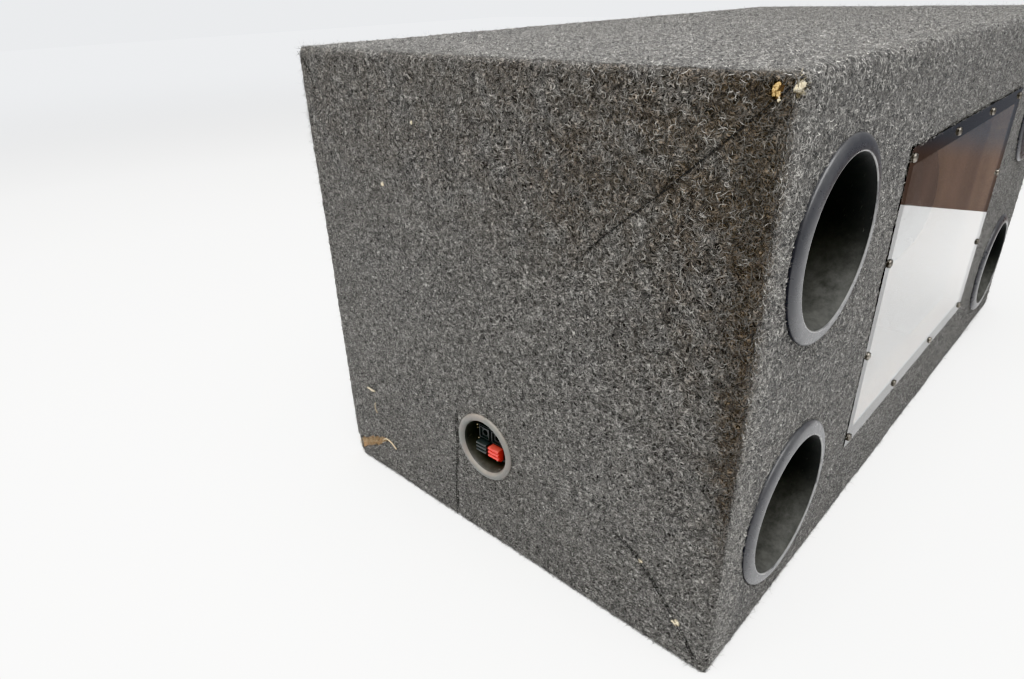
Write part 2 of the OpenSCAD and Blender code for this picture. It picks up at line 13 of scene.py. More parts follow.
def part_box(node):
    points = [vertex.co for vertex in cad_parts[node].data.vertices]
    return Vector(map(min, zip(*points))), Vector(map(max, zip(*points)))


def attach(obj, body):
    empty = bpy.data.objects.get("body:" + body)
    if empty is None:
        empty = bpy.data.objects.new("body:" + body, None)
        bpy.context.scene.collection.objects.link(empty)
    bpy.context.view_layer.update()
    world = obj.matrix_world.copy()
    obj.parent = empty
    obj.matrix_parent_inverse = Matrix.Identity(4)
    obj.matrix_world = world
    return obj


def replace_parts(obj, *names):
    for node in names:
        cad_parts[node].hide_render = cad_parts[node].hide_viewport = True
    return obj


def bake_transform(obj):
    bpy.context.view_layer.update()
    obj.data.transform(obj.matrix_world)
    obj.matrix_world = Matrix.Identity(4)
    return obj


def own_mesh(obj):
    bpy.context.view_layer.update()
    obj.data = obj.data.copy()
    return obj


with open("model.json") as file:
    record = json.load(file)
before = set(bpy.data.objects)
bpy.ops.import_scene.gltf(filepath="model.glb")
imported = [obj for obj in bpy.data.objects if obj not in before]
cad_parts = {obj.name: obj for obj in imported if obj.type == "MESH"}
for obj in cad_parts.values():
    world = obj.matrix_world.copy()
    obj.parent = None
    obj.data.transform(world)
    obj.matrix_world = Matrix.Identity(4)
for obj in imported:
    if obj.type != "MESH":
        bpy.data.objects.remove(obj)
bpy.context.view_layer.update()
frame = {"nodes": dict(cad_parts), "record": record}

MM = 0.001
LEFT, RIGHT = -1, 1
SIDES = {"left": LEFT, "right": RIGHT}
LEVELS = ("bottom", "top")


# ---------- places, all read from the frame ----------

def corners(node):
    """Lowest and highest corner of a CAD node as arrays."""
    low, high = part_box(node)
    return np.array(low), np.array(high)


BOARD_LOW, BOARD_HIGH = corners("panel_top")
HALF_W = -corners("carpet_left_end")[0][0]
WOOD_X = -BOARD_LOW[0]
CARPET_T = HALF_W - WOOD_X
WOOD_FRONT = BOARD_LOW[1]
WOOD_BACK = BOARD_HIGH[1]
FRONT_Y = WOOD_FRONT - CARPET_T
BACK_Y = WOOD_BACK + CARPET_T
TOP_Z = BOARD_HIGH[2] + CARPET_T
DEPTH = BACK_Y - FRONT_Y
EDGE_R = 5 * MM   # of the carpet's folded edges
CUP_LOW, CUP_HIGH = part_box("terminal_cup_left")
CUP_CENTRE = (CUP_LOW + CUP_HIGH) / 2
WINDOW_LOW, WINDOW_HIGH = corners("window_panel")
WINDOW_MID_Z = (WINDOW_LOW[2] + WINDOW_HIGH[2]) / 2


def port_centre(level, side):
    """The x and z of one port's axis."""
    low, high = corners(f"port_flare_{level}_{side}")
    return (low[0] + high[0]) / 2, (low[2] + high[2]) / 2


def add_object(name, data, body=None):
    """A new object in the scene, which rides on a body if one is named."""
    piece = bpy.data.objects.new(name, data)
    bpy.context.scene.collection.objects.link(piece)
    if body:
        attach(piece, body)
    return piece


# ---------- camera ----------

CAMERA_PLACE = (-0.7495, -0.3387, 0.4438)
CAMERA_YAW = math.radians(46.23)      # from +Y towards +X
CAMERA_PITCH = math.radians(-27.02)
CAMERA_ROLL = math.radians(-1.80)
CAMERA_LENS = 24.2


def make_camera():
    """Sets the camera to the photo's view."""
    yaw, pitch, roll = CAMERA_YAW, CAMERA_PITCH, CAMERA_ROLL
    ahead = Vector((
        math.cos(pitch) * math.sin(yaw),
        math.cos(pitch) * math.cos(yaw),
        math.sin(pitch),
    ))
    level = Vector((math.cos(yaw), -math.sin(yaw), 0))
    up = level.cross(ahead)
    across = math.cos(roll) * level + math.sin(roll) * up
    over = math.cos(roll) * up - math.sin(roll) * level
    turn = Matrix((across, over, -ahead)).transposed()
    camera = add_object("camera", bpy.data.cameras.new("camera"))
    camera.matrix_world = Matrix.Translation(CAMERA_PLACE) @ turn.to_4x4()
    camera.data.lens = CAMERA_LENS
    camera.data.sensor_width = 36
    camera.data.clip_start = 0.01
    bpy.context.scene.camera = camera


make_camera()


# ---------- meshes ----------

def new_mesh(name, points, *face_groups, body="cabinet"):
    """A mesh piece from arrays: points (n, 3), and groups of faces that each have one corner count."""
    mesh = bpy.data.meshes.new(name)
    points = np.asarray(points, np.float32)
    groups = [np.asarray(g, np.int32) for g in face_groups if len(g)]
    sizes = np.concatenate([np.full(len(g), g.shape[1], np.int32) for g in groups])
    mesh.vertices.add(len(points))
    mesh.vertices.foreach_set("co", points.ravel())
    mesh.loops.add(int(sizes.sum()))
    mesh.loops.foreach_set("vertex_index", np.concatenate([g.ravel() for g in groups]))
    mesh.polygons.add(len(sizes))
    starts = np.concatenate([[0], np.cumsum(sizes)[:-1]])
    mesh.polygons.foreach_set("loop_start", starts.astype(np.int32))
    mesh.polygons.foreach_set("use_smooth", np.full(len(sizes), True))
    mesh.update(calc_edges=True)
    return add_object(name, mesh, body)


def point_value(piece, name, values):
    """Stores one number for each point, for the piece's material to read."""
    attribute = piece.data.attributes.new(name, "FLOAT", "POINT")
    attribute.data.foreach_set("value", np.asarray(values, np.float32))


def flat_map(piece, places):
    """Stores each point's place on the unrolled sheet, in metres, as the piece's UV map."""
    layer = piece.data.uv_layers.new(name="Flat")
    corner = np.empty(len(piece.data.loops), np.int32)
    piece.data.loops.foreach_get("vertex_index", corner)
    layer.data.foreach_set("uv", np.asarray(places, np.float32)[corner].ravel())


def lattice(points, cell, seed):
    """A smooth random field from -1 to 1, with a random value at every corner of cells this wide."""
    q = np.asarray(points) / cell
    base = np.floor(q).astype(np.int64)
    t = q - base
    t = t * t * (3 - 2 * t)
    total = np.zeros(len(q))
    for corner in itertools.product((0, 1), repeat=3):
        key = (base + corner) @ np.array([73856093, 19349663, 83492791]) + seed * 2654435761
        key = (key ^ (key >> 13)) * 1274126177 & 0x7FFFFFFF
        key = (key ^ (key >> 16)) * 668265263 & 0x7FFFFFFF
        share = np.prod(np.where(corner, t, 1 - t), axis=1)
        total += share * (key / 0x3FFFFFFF - 1)
    return total


# Local axes as columns: x, y and the outward z of each frame, in the row frame
FRONT_AXES = np.array([[1, 0, 0], [0, 0, -1], [0, 1, 0]])
END_AXES = {side: np.array([[0, 0, side], [side, 0, 0], [0, 1, 0]]) for side in (LEFT, RIGHT)}
DRIVER_AXES = {side: np.array([[0, 0, side], [0, side, 0], [-1, 0, 0]]) for side in (LEFT, RIGHT)}


def placed(points, origin, axes):
    """Points in mm along a part's own axes, carried to the row frame."""
    return (np.asarray(points) * MM) @ axes.T + np.array(origin)


def points_of(mesh):
    return np.array([v.co for v in mesh.vertices])


def joined(parts):
    """One set of points and faces from several."""
    starts = np.cumsum([0] + [len(points) for points, _ in parts])
    faces = [np.add(faces, start) for (_, faces), start in zip(parts, starts)]
    return np.concatenate([points for points, _ in parts]), np.concatenate(faces)


def ball(subdivisions):
    """Points and triangles of a ball of radius 1."""
    work = bmesh.new()
    bmesh.ops.create_icosphere(work, subdivisions=subdivisions, radius=1)
    points = np.array([v.co for v in work.verts])
    faces = [[v.index for v in f.verts] for f in work.faces]
    work.free()
    return points, faces


def rounded(outline):
    """A closed outline from corners (r, z, bevel), with each corner turned into a short curve."""
    out = []
    for i, (r, z, bevel) in enumerate(outline):
        here = np.array((r, z))
        if not bevel:
            out.append(here)
            continue
        arms = []
        for other in (outline[i - 1], outline[(i + 1) % len(outline)]):
            way = np.array(other[:2]) - here
            arms.append(here + way * min(bevel / np.linalg.norm(way), 0.45))
        for t in np.linspace(0, 1, 6):
            out.append((1 - t) ** 2 * arms[0] + 2 * t * (1 - t) * here + t * t * arms[1])
    return out


def arc(r0, z0, r1, z1, steps=16, start=0):
    """Points of an ellipse from (r0, z0) round to (r1, z1), where it runs along the axis.

    start is the slope it begins with, in degrees."""
    first = math.radians(start)
    low, high = 1 - math.sin(first), math.cos(first)
    return [
        (r1 + (r0 - r1) * (1 - math.sin(t)) / low, z1 + (z0 - z1) * math.cos(t) / high)
        for t in np.linspace(first, math.pi / 2, steps)
    ]


def spun(outline, steps):
    """Points and faces of a closed outline of (r, z) spun round the local z axis."""
    outline = np.array(outline, float)
    n = len(outline)
    turn = np.linspace(0, 2 * math.pi, steps, endpoint=False)
    r, z = outline[:, 0], outline[:, 1]
    points = np.stack([np.outer(np.cos(turn), r), np.outer(np.sin(turn), r), np.tile(z, (steps, 1))], -1)
    i, k = np.meshgrid(np.arange(steps), np.arange(n), indexing="ij")
    a, b = i * n + k, i * n + (k + 1) % n
    c, d = (i + 1) % steps * n + (k + 1) % n, (i + 1) % steps * n + k
    return points.reshape(-1, 3), np.stack([a, b, c, d], -1).reshape(-1, 4)


def rod(path, radius, sides):
    """Points and faces of a round rod along a path, with flat ends."""
    path = np.asarray(path, float)
    ahead = np.gradient(path, axis=0)
    ahead /= np.linalg.norm(ahead, axis=1)[:, None]
    side = np.cross(ahead[0], (0.3, 0.5, 0.81))
    rings = []
    turn = np.linspace(0, 2 * math.pi, sides, endpoint=False)[:, None]
    for point, way in zip(path, ahead):
        side = side - (side @ way) * way
        side /= np.linalg.norm(side)
        rings.append(point + radius * (np.cos(turn) * side + np.sin(turn) * np.cross(way, side)))
    n = len(path)
    i, k = np.meshgrid(np.arange(n - 1), np.arange(sides), indexing="ij")
    a, b = i * sides + k, i * sides + (k + 1) % sides
    walls = np.stack([a, b, b + sides, a + sides], -1).reshape(-1, 4)
    caps = np.array([np.arange(sides)[::-1], (n - 1) * sides + np.arange(sides)])
    return np.concatenate(rings), walls, caps


def smooth_path(points, steps=8):
    """A Catmull-Rom curve through the points."""
    p = np.asarray(points, float)
    p = np.concatenate([p[:1], p, p[-1:]])
    out = []
    for a, b, c, d in zip(p, p[1:], p[2:], p[3:]):
        for t in np.linspace(0, 1, steps, endpoint=False):
            square, cube = 2 * a - 5 * b + 4 * c - d, 3 * b - a - 3 * c + d
            out.append(0.5 * (2 * b + (c - a) * t + square * t ** 2 + cube * t ** 3))
    return np.array([*out, p[-1]])


def weld(piece, sharp=None):
    """Points the faces outwards, and keeps edges steeper than this angle crisp."""
    work = bmesh.new()
    work.from_mesh(piece.data)
    bmesh.ops.remove_doubles(work, verts=work.verts, dist=1e-7)
    bmesh.ops.recalc_face_normals(work, faces=work.faces)
    work.to_mesh(piece.data)
    work.free()
    if sharp:
        piece.data.set_sharp_from_angle(angle=math.radians(sharp))
    return piece


# ---------- materials ----------

class Paint:
    """A material's nodes. Each call adds one node and gives back the socket that leaves it."""

    def __init__(self, name, **values):
        self.material = bpy.data.materials.new(name)
        self.material.use_nodes = True
        self.tree = self.material.node_tree
        self.shader = self.tree.nodes["Principled BSDF"]
        for key, value in values.items():
            self.shader.inputs[key.replace("_", " ")].default_value = value

    def node(self, kind, output=0, inputs=None, **settings):
        n = self.tree.nodes.new("ShaderNode" + kind)
        for key, value in settings.items():
            setattr(n, key, value)
        for key, value in (inputs or {}).items():
            if isinstance(value, bpy.types.NodeSocket):
                self.tree.links.new(value, n.inputs[key])
            elif value is not None:
                n.inputs[key].default_value = value
        return n.outputs[output]

    def feed(self, **sockets):
        for key, socket in sockets.items():
            self.tree.links.new(socket, self.shader.inputs[key.replace("_", " ")])
        return self

    def place(self):
        return self.node("TexCoord", "Object")

    def normal(self):
        return self.node("NewGeometry", "Normal")

    def stretched(self, vector, scale, turn=(0, 0, 0), start=(0, 0, 0)):
        return self.node("Mapping", 0, {0: vector, 1: start, 2: turn, 3: scale}, vector_type="TEXTURE")

    def noise(self, size, vector=None, detail=2.0, rough=0.5, output="Fac"):
        inputs = {"Vector": vector or self.place(), "Scale": 1 / size, "Detail": detail, "Roughness": rough}
        return self.node("TexNoise", output, inputs)

    def cells(self, size):
        return self.node("TexVoronoi", "Distance", {"Vector": self.place(), "Scale": 1 / size})

    def bands(self, scale, direction):
        return self.node("TexWave", "Fac", {"Vector": self.place(), "Scale": scale}, bands_direction=direction)

    def math(self, operation, a, b=None, c=None):
        return self.node("Math", 0, {0: a, 1: b, 2: c}, operation=operation)

    def span(self, value, low, high, to_low=0.0, to_high=1.0):
        """The value eased from to_low at low to to_high at high."""
        inputs = {"Value": value, "From Min": low, "From Max": high, "To Min": to_low, "To Max": to_high}
        return self.node("MapRange", 0, inputs, interpolation_type="SMOOTHSTEP")

    def mix(self, share, a, b, how="MIX"):
        n = self.tree.nodes.new("ShaderNodeMix")
        n.data_type = "RGBA"
        n.blend_type = how
        for key, value in (("Factor", share), ("A", a), ("B", b)):
            kind = "VALUE" if key == "Factor" else "RGBA"
            socket = next(s for s in n.inputs if s.name == key and s.type == kind)
            if isinstance(value, bpy.types.NodeSocket):
                self.tree.links.new(value, socket)
            else:
                socket.default_value = value if key == "Factor" else tuple(value) + (1,)
        return next(s for s in n.outputs if s.type == "RGBA")

    def bump(self, height, depth, strength=1.0):
        return self.node("Bump", 0, {"Height": height, "Distance": depth, "Strength": strength})

    def attribute(self, name):
        return self.node("Attribute", "Fac", attribute_name=name)


def paint_carpet(name):
    """Heathered needle-punch carpet: short curled fibres of pale, middle and dark grey, in every direction."""
    p = Paint(name, Roughness=0.95, Specular_IOR_Level=0.12, Sheen_Weight=0.22, Sheen_Roughness=0.45)
    flat = p.node("UVMap", 0, uv_map="Flat")
    wander = p.noise(6 * MM, flat, 1.5, output="Color")
    wander = p.node("VectorMath", 0, {0: wander, 1: (0.5, 0.5, 0.5)}, operation="SUBTRACT")
    bent = p.node("VectorMath", 0, {0: wander, 1: (0.013, 0.013, 0), 2: flat}, operation="MULTIPLY_ADD")

    def fibres(turns, shift, width, length, low, high):
        masks = []
        for i, turn in enumerate(turns):
            start = (shift + 0.37 * i, shift, 0)
            along = p.stretched(bent, (length, width, 1), (0, 0, math.radians(turn)), start)
            streak = p.node("TexNoise", "Fac", {"Vector": along, "Scale": 1.0, "Detail": 1.0})
            masks.append(p.span(streak, low, high))
        return reduce(lambda mask, other: p.math("MAXIMUM", mask, other), masks)

    clump = p.noise(2.4 * MM, flat, 3.0, 0.65)
    mid = fibres((20, 75, 130), 0.1, 0.70 * MM, 4.8 * MM, 0.55, 0.63)
    light = fibres((0, 42, 95, 143), 0.7, 0.55 * MM, 4.2 * MM, 0.60, 0.67)
    light = p.math("MULTIPLY", light, p.span(clump, 0.32, 0.6, 0.25, 1.0))
    base = p.mix(p.span(clump, 0.35, 0.7), (0.005, 0.005, 0.0055), (0.020, 0.0195, 0.0185))
    colour = p.mix(mid, base, (0.088, 0.085, 0.079))
    colour = p.mix(light, colour, (0.56, 0.545, 0.515))
    patches = p.span(p.noise(16 * MM, None, 4.0, 0.6), 0.25, 0.6, 0.35, 1.0)
    # The point attribute browns and darkens the pile: a stain along the front edges and, on the ends, painted
    # shade towards their front and top.
    brown_and_shade_mask = p.math("MULTIPLY", p.attribute("stain_and_shade"), patches)
    colour = p.mix(p.span(brown_and_shade_mask, 0.05, 0.75, 0, 0.92), colour, (0.42, 0.31, 0.20), "MULTIPLY")
    soil = p.span(p.noise(80 * MM, None, 3.0), 0.35, 0.7, 0.0, 0.16)
    colour = p.mix(soil, colour, (0.10, 0.093, 0.078))
    # Along the seams the colour goes almost black: painted shade in the pressed-in crease, broken up by noise.
    broken = p.span(p.noise(7 * MM, flat, 2.0), 0.30, 0.42)
    crease = p.math("MULTIPLY", p.math("POWER", p.attribute("crease"), 2.0), broken)
    colour = p.mix(p.span(crease, 0.2, 0.9, 0, 0.85), colour, (0.006, 0.006, 0.006))
    height = p.math("MULTIPLY_ADD", light, 0.7, p.math("MULTIPLY_ADD", mid, 0.4, clump))
    return p.feed(Base_Color=colour, Normal=p.bump(height, 1.1 * MM, 1.0)).material


def paint_fibre(name, colour):
    """One colour of polyester fibre. The pieces are hair-thin, so it stays plain."""
    return Paint(name, Base_Color=(*colour, 1), Roughness=0.8, Sheen_Weight=0.1).material


def paint_grain(name, dark, light, noise, tones, bump, rough=None, **values):
    """Two tones of one fine noise, given as its size in mm, detail and roughness, which also bumps the surface.

    tones is the noise's span from dark to light, and rough is its span and the roughness it makes."""
    p = Paint(name, **values)
    size, detail, coarse = noise
    grain = p.noise(size * MM, None, detail, coarse)
    if rough:
        p.feed(Roughness=p.span(grain, *rough))
    colour = p.mix(p.span(grain, *tones), dark, light)
    return p.feed(Base_Color=colour, Normal=p.bump(grain, *bump)).material


def paint_scrap(name, dark, light):
    """Crumbs and lint, darker in their hollows."""
    plain = {"Roughness": 0.85, "Specular_IOR_Level": 0.3}
    return paint_grain(name, dark, light, (1.0, 4.0, 0.7), (0.35, 0.62), (0.3 * MM,), **plain)


def paint_paper(name, dark, light):
    """Pressed paper pulp with short random fibres."""
    rough = (0.2, 0.8, 0.7, 0.95)
    bump = (0.2 * MM, 0.8)
    return paint_grain(name, dark, light, (1.6, 6.0, 0.75), (0.3, 0.75), bump, rough, Specular_IOR_Level=0.3)


def paint_board(name):
    """Raw fibreboard: tan, with fine darker and lighter flecks."""
    p = Paint(name, Specular_IOR_Level=0.25)
    fleck = p.noise(1.1 * MM, p.stretched(p.place(), (1.8, 1.8, 1.0)), 4.0, 0.7)
    cloud = p.noise(45 * MM, None, 3.0)
    colour = p.mix(p.span(fleck, 0.3, 0.72), (0.27, 0.16, 0.085), (0.50, 0.34, 0.20))
    colour = p.mix(p.span(cloud, 0.3, 0.7, 0, 0.35), colour, (0.30, 0.19, 0.11))
    rough = p.span(fleck, 0.2, 0.8, 0.75, 0.95)
    return p.feed(Base_Color=colour, Roughness=rough, Normal=p.bump(fleck, 0.15 * MM)).material


def paint_plastic(name, dark, dusty, dust=0.35, roughness=(0.32, 0.5), tint=None, gloss=0.5):
    """Moulded plastic with a fine grain, dust that settles on what faces up, and hairline scuffs.

    tint is a second colour in patches, and a piece's wear attribute marks where it is painted pale: a painted
    highlight."""
    p = Paint(name, Specular_IOR_Level=gloss)
    up = p.node("SeparateXYZ", 2, {0: p.normal()})
    cloud = p.noise(9 * MM, None, 6.0, 0.7)
    speck = p.noise(1.0 * MM, None, 3.0, 0.7)
    settled = p.math("MULTIPLY", p.span(up, -0.1, 0.95, 0.12, 1.0), p.span(cloud, 0.15, 0.85, 0.4, 1.0))
    settled = p.math("MULTIPLY", p.math("ADD", settled, p.span(speck, 0.62, 0.8, 0, 0.35)), dust)
    scuff = p.noise(0.5 * MM, p.stretched(p.place(), (22, 1, 16), (0.3, 0.5, 0.2)), 2.0)
    scuff = p.span(scuff, 0.68, 0.76, 0, 0.35)
    body = p.mix(p.span(p.noise(20 * MM), 0.4, 0.6), dark, tint) if tint else dark
    # The wear attribute paints the crest of each port's lip pale: a painted highlight.
    lip_highlight = p.math("MULTIPLY", p.attribute("wear"), p.span(p.noise(12 * MM), 0.3, 0.6, 0.25, 0.9))
    colour = p.mix(p.math("MAXIMUM", p.math("MAXIMUM", settled, scuff), lip_highlight), body, dusty)
    rough = p.span(p.math("ADD", settled, p.noise(6 * MM)), 0.3, 1.2, *roughness)
    grain = p.bump(p.noise(0.3 * MM, None, 1.0), 0.03 * MM)
    return p.feed(Base_Color=colour, Roughness=rough, Normal=grain).material


def paint_metal(name, colour, dull, roughness=(0.25, 0.45), metallic=1.0):
    """Plated or turned metal with faint cloudy wear."""
    p = Paint(name, Metallic=metallic)
    wear = p.noise(5 * MM, None, 5.0, 0.7)
    lines = p.noise(0.5 * MM, p.stretched(p.place(), (4, 4, 0.6)), 2.0)
    return p.feed(
        Base_Color=p.mix(p.span(wear, 0.35, 0.75), colour, dull),
        Roughness=p.span(wear, 0.3, 0.7, *roughness),
        Normal=p.bump(lines, 0.02 * MM),
    ).material


def paint_foam(name, dark, light):
    p = Paint(name, Roughness=0.9, Specular_IOR_Level=0.08)
    pore = p.cells(0.8 * MM)
    colour = p.mix(p.span(pore, 0.1, 0.7), dark, light)
    return p.feed(Base_Color=colour, Normal=p.bump(pore, 0.15 * MM, 0.8)).material


def paint_cloth(name, dark, light):
    """Resin-dipped open weave."""
    p = Paint(name, Roughness=0.75, Sheen_Weight=0.2)
    weave = p.math("MULTIPLY", p.bands(220, "Y"), p.bands(220, "Z"))
    return p.feed(Base_Color=p.mix(weave, dark, light), Normal=p.bump(weave, 0.25 * MM, 0.7)).material


def paint_acrylic(name):
    """Clear panel with dust and hairline scratches."""
    p = Paint(name, Base_Color=(0.97, 0.985, 0.99, 1), IOR=1.49, Transmission_Weight=1.0)
    scratch = p.span(p.noise(0.6 * MM, p.stretched(p.place(), (60, 1, 1.2), (0, 0.6, 0)), 3.0), 0.68, 0.76)
    smear = p.span(p.noise(40 * MM, None, 4.0, 0.6), 0.5, 0.85)
    rough = p.math("ADD", p.math("MULTIPLY", scratch, 0.08), p.math("MULTIPLY", smear, 0.03))
    return p.feed(Roughness=p.math("ADD", rough, 0.012)).material


def paint_winding(name):
    p = Paint(name, Metallic=0.6)
    turns = p.bands(500, "X")
    return p.feed(
        Base_Color=p.mix(turns, (0.28, 0.10, 0.04), (0.75, 0.36, 0.18)),
        Roughness=p.span(turns, 0, 1, 0.5, 0.3),
        Normal=p.bump(turns, 0.1 * MM),
    ).material


def paint_lead(name, dark, light):
    p = Paint(name)
    scuff = p.noise(3 * MM, None, 4.0, 0.6)
    return p.feed(
        Base_Color=p.mix(p.span(scuff, 0.3, 0.75), dark, light),
        Roughness=p.span(scuff, 0.3, 0.7, 0.35, 0.55),
        Normal=p.bump(p.noise(0.7 * MM), 0.05 * MM),
    ).material


LOOKS = {   # name: how it is painted, and what that is given
    "mdf": (paint_board,),
    "carpet": (paint_carpet,),
    "acrylic": (paint_acrylic,),
    "gasket_foam": (paint_foam, (0.045, 0.045, 0.045), (0.085, 0.085, 0.083)),
    "zinc_screw": (paint_metal, (0.26, 0.24, 0.21), (0.06, 0.057, 0.053), (0.25, 0.5)),
    "black_screw": (paint_metal, (0.04, 0.04, 0.042), (0.09, 0.085, 0.08), (0.3, 0.5), 0.8),
    "port_plastic": (paint_plastic, (0.026, 0.027, 0.032), (0.26, 0.26, 0.255), 0.29, (0.26, 0.44)),
    "tube_plastic": (paint_plastic, (0.005, 0.0055, 0.006), (0.19, 0.19, 0.175), 0.60, (0.5, 0.7), None, 0.12),
    "cup_plastic": (
        paint_plastic, (0.148, 0.134, 0.125), (0.42, 0.375, 0.315), 0.62, (0.36, 0.6), (0.118, 0.124, 0.118)
    ),
    # The cup's well: its plastic made near-black, as painted shade in the recess.
    "well_plastic": (paint_plastic, (0.018, 0.019, 0.018), (0.25, 0.24, 0.205), 0.40, (0.4, 0.6), None, 0.3),
    "block_plastic": (paint_plastic, (0.012, 0.014, 0.014), (0.10, 0.115, 0.105), 0.3),
    "lever_red": (paint_plastic, (0.62, 0.034, 0.026), (0.74, 0.31, 0.23), 0.45),
    "lever_black": (paint_plastic, (0.016, 0.019, 0.019), (0.11, 0.125, 0.12), 0.35),
    "brass": (paint_metal, (0.78, 0.56, 0.26), (0.50, 0.36, 0.18)),
    "spring_steel": (paint_metal, (0.70, 0.70, 0.70), (0.45, 0.45, 0.45), (0.15, 0.3)),
    "lead_red": (paint_lead, (0.35, 0.010, 0.010), (0.50, 0.03, 0.025)),
    "lead_black": (paint_lead, (0.010, 0.010, 0.010), (0.035, 0.035, 0.035)),
    "basket_paint": (paint_plastic, (0.014, 0.014, 0.015), (0.10, 0.10, 0.10), 0.2),
    "surround_foam": (paint_foam, (0.016, 0.016, 0.017), (0.045, 0.045, 0.045)),
    "cone_paper": (paint_paper, (0.014, 0.014, 0.015), (0.050, 0.050, 0.048)),
    "dust_cap": (paint_paper, (0.012, 0.012, 0.013), (0.035, 0.035, 0.036)),
    "coil_copper": (paint_winding,),
    "spider_cloth": (paint_cloth, (0.30, 0.19, 0.06), (0.62, 0.46, 0.20)),
    "ferrite": (paint_paper, (0.030, 0.030, 0.032), (0.075, 0.074, 0.074)),
    "plate_steel": (paint_metal, (0.56, 0.55, 0.52), (0.36, 0.34, 0.31), (0.28, 0.5)),
    "strip_board": (paint_paper, (0.16, 0.075, 0.03), (0.28, 0.15, 0.07)),
    "tinsel": (paint_metal, (0.72, 0.46, 0.30), (0.40, 0.26, 0.18)),
    "fibre_light": (paint_fibre, (0.60, 0.585, 0.545)),
    "fibre_pale": (paint_fibre, (0.29, 0.28, 0.258)),
    "fibre_mid": (paint_fibre, (0.115, 0.111, 0.102)),
    "fibre_dark": (paint_fibre, (0.005, 0.005, 0.005)),
    "fibre_tan": (paint_fibre, (0.60, 0.49, 0.33)),
    "lint": (paint_scrap, (0.38, 0.32, 0.22), (0.72, 0.65, 0.50)),
    "glue": (paint_scrap, (0.22, 0.13, 0.05), (0.60, 0.45, 0.22)),
}
MATERIALS = {name: paint(name, *given) for name, (paint, *given) in LOOKS.items()}


def finish_piece(piece, slot, material=None):
    """Gives a piece the named material, else the one its slot names."""
    piece.data.materials.clear()
    piece.data.materials.append(MATERIALS[material or slot])
    return piece


for row in frame["record"]["subparts"]:
    node = frame["nodes"][row["node"]]
    for holder in node.material_slots:
        holder.link = "OBJECT"
        holder.material = MATERIALS[row["material_slot"]]


# ---------- carpet ----------

BOW_DEPTH = 0.45 * MM
TUFT_DEPTH = 0.42 * MM
CREASE_DEPTH = 1.8 * MM


def relief(points):
    """How far the pile stands off the sheet's nominal face."""
    tufts = lattice(points, 2.6 * MM, 1) + 0.7 * lattice(points, 5.5 * MM, 2)
    bows = lattice(points, 48 * MM, 3)
    return TUFT_DEPTH * tufts * 0.6 + BOW_DEPTH * bows


def lines(low, high, cell, *through):
    """Grid lines from low to high that pass exactly through the given values."""
    stops = sorted({low, high, *through})
    parts = [np.linspace(a, b, max(2, round((b - a) / cell) + 1))[:-1] for a, b in zip(stops, stops[1:])]
    return np.concatenate([*parts, [high]])


def end_place(side, a, b):
    """A point and outward direction on a carpeted end. a runs back from the front, b runs up."""
    over_a, over_b = (
        np.where(c < EDGE_R, c - EDGE_R, np.where(c > far - EDGE_R, c - far + EDGE_R, 0)) / EDGE_R
        for c, far in ((a, DEPTH), (b, TOP_Z))
    )
    out = np.stack([side * np.cos(over_a) * np.cos(over_b), np.sin(over_a) * np.cos(over_b), np.sin(over_b)], 1)
    core = np.stack([
        np.full(len(a), side * (HALF_W - EDGE_R)),
        FRONT_Y + np.clip(a, EDGE_R, DEPTH - EDGE_R),
        np.clip(b, EDGE_R, TOP_Z - EDGE_R),
    ], 1)
    return core, out


def wrap_place(u, v):
    """A point and outward direction on the wrapped carpet.

    u is x, and v runs up the front, over the top and down the back."""
    quarter = EDGE_R * math.pi / 2
    front, back, bottom, top = FRONT_Y + EDGE_R, BACK_Y - EDGE_R, EDGE_R, TOP_Z - EDGE_R
    stops = np.cumsum([0, quarter, top - bottom, quarter, back - front, quarter, top - bottom, quarter])
    angle = np.radians(np.interp(v, stops, [-90, 0, 0, 90, 90, 180, 180, 270]))
    run_y = np.interp(v, stops, [front] * 4 + [back] * 4)
    run_z = np.interp(v, stops, [bottom] * 2 + [top] * 4 + [bottom] * 2)
    core = np.stack([u, run_y, run_z], 1)
    out = np.stack([np.zeros(len(u)), -np.cos(angle), np.sin(angle)], 1)
    return core, out


WRAP_LENGTH = 2 * (TOP_Z - 2 * EDGE_R) + (DEPTH - 2 * EDGE_R) + 4 * EDGE_R * math.pi / 2
FRONT_START = EDGE_R * math.pi / 2 - EDGE_R   # add z to get v on the front


def near_path(a, b, path):
    """Distance from each point to a path of straight runs, and the nearest place on it."""
    best = np.full(len(a), 9.0)
    spot = np.zeros((len(a), 2))
    here = np.stack([a, b], 1)
    for p, q in zip(path, path[1:]):
        p, q = np.array(p), np.array(q)
        t = np.clip((here - p) @ (q - p) / ((q - p) @ (q - p)), 0, 1)
        foot = p + t[:, None] * (q - p)
        d = np.linalg.norm(here - foot, axis=1)
        nearer = d < best
        best = np.where(nearer, d, best)
        spot[nearer] = foot[nearer]
    return best, spot


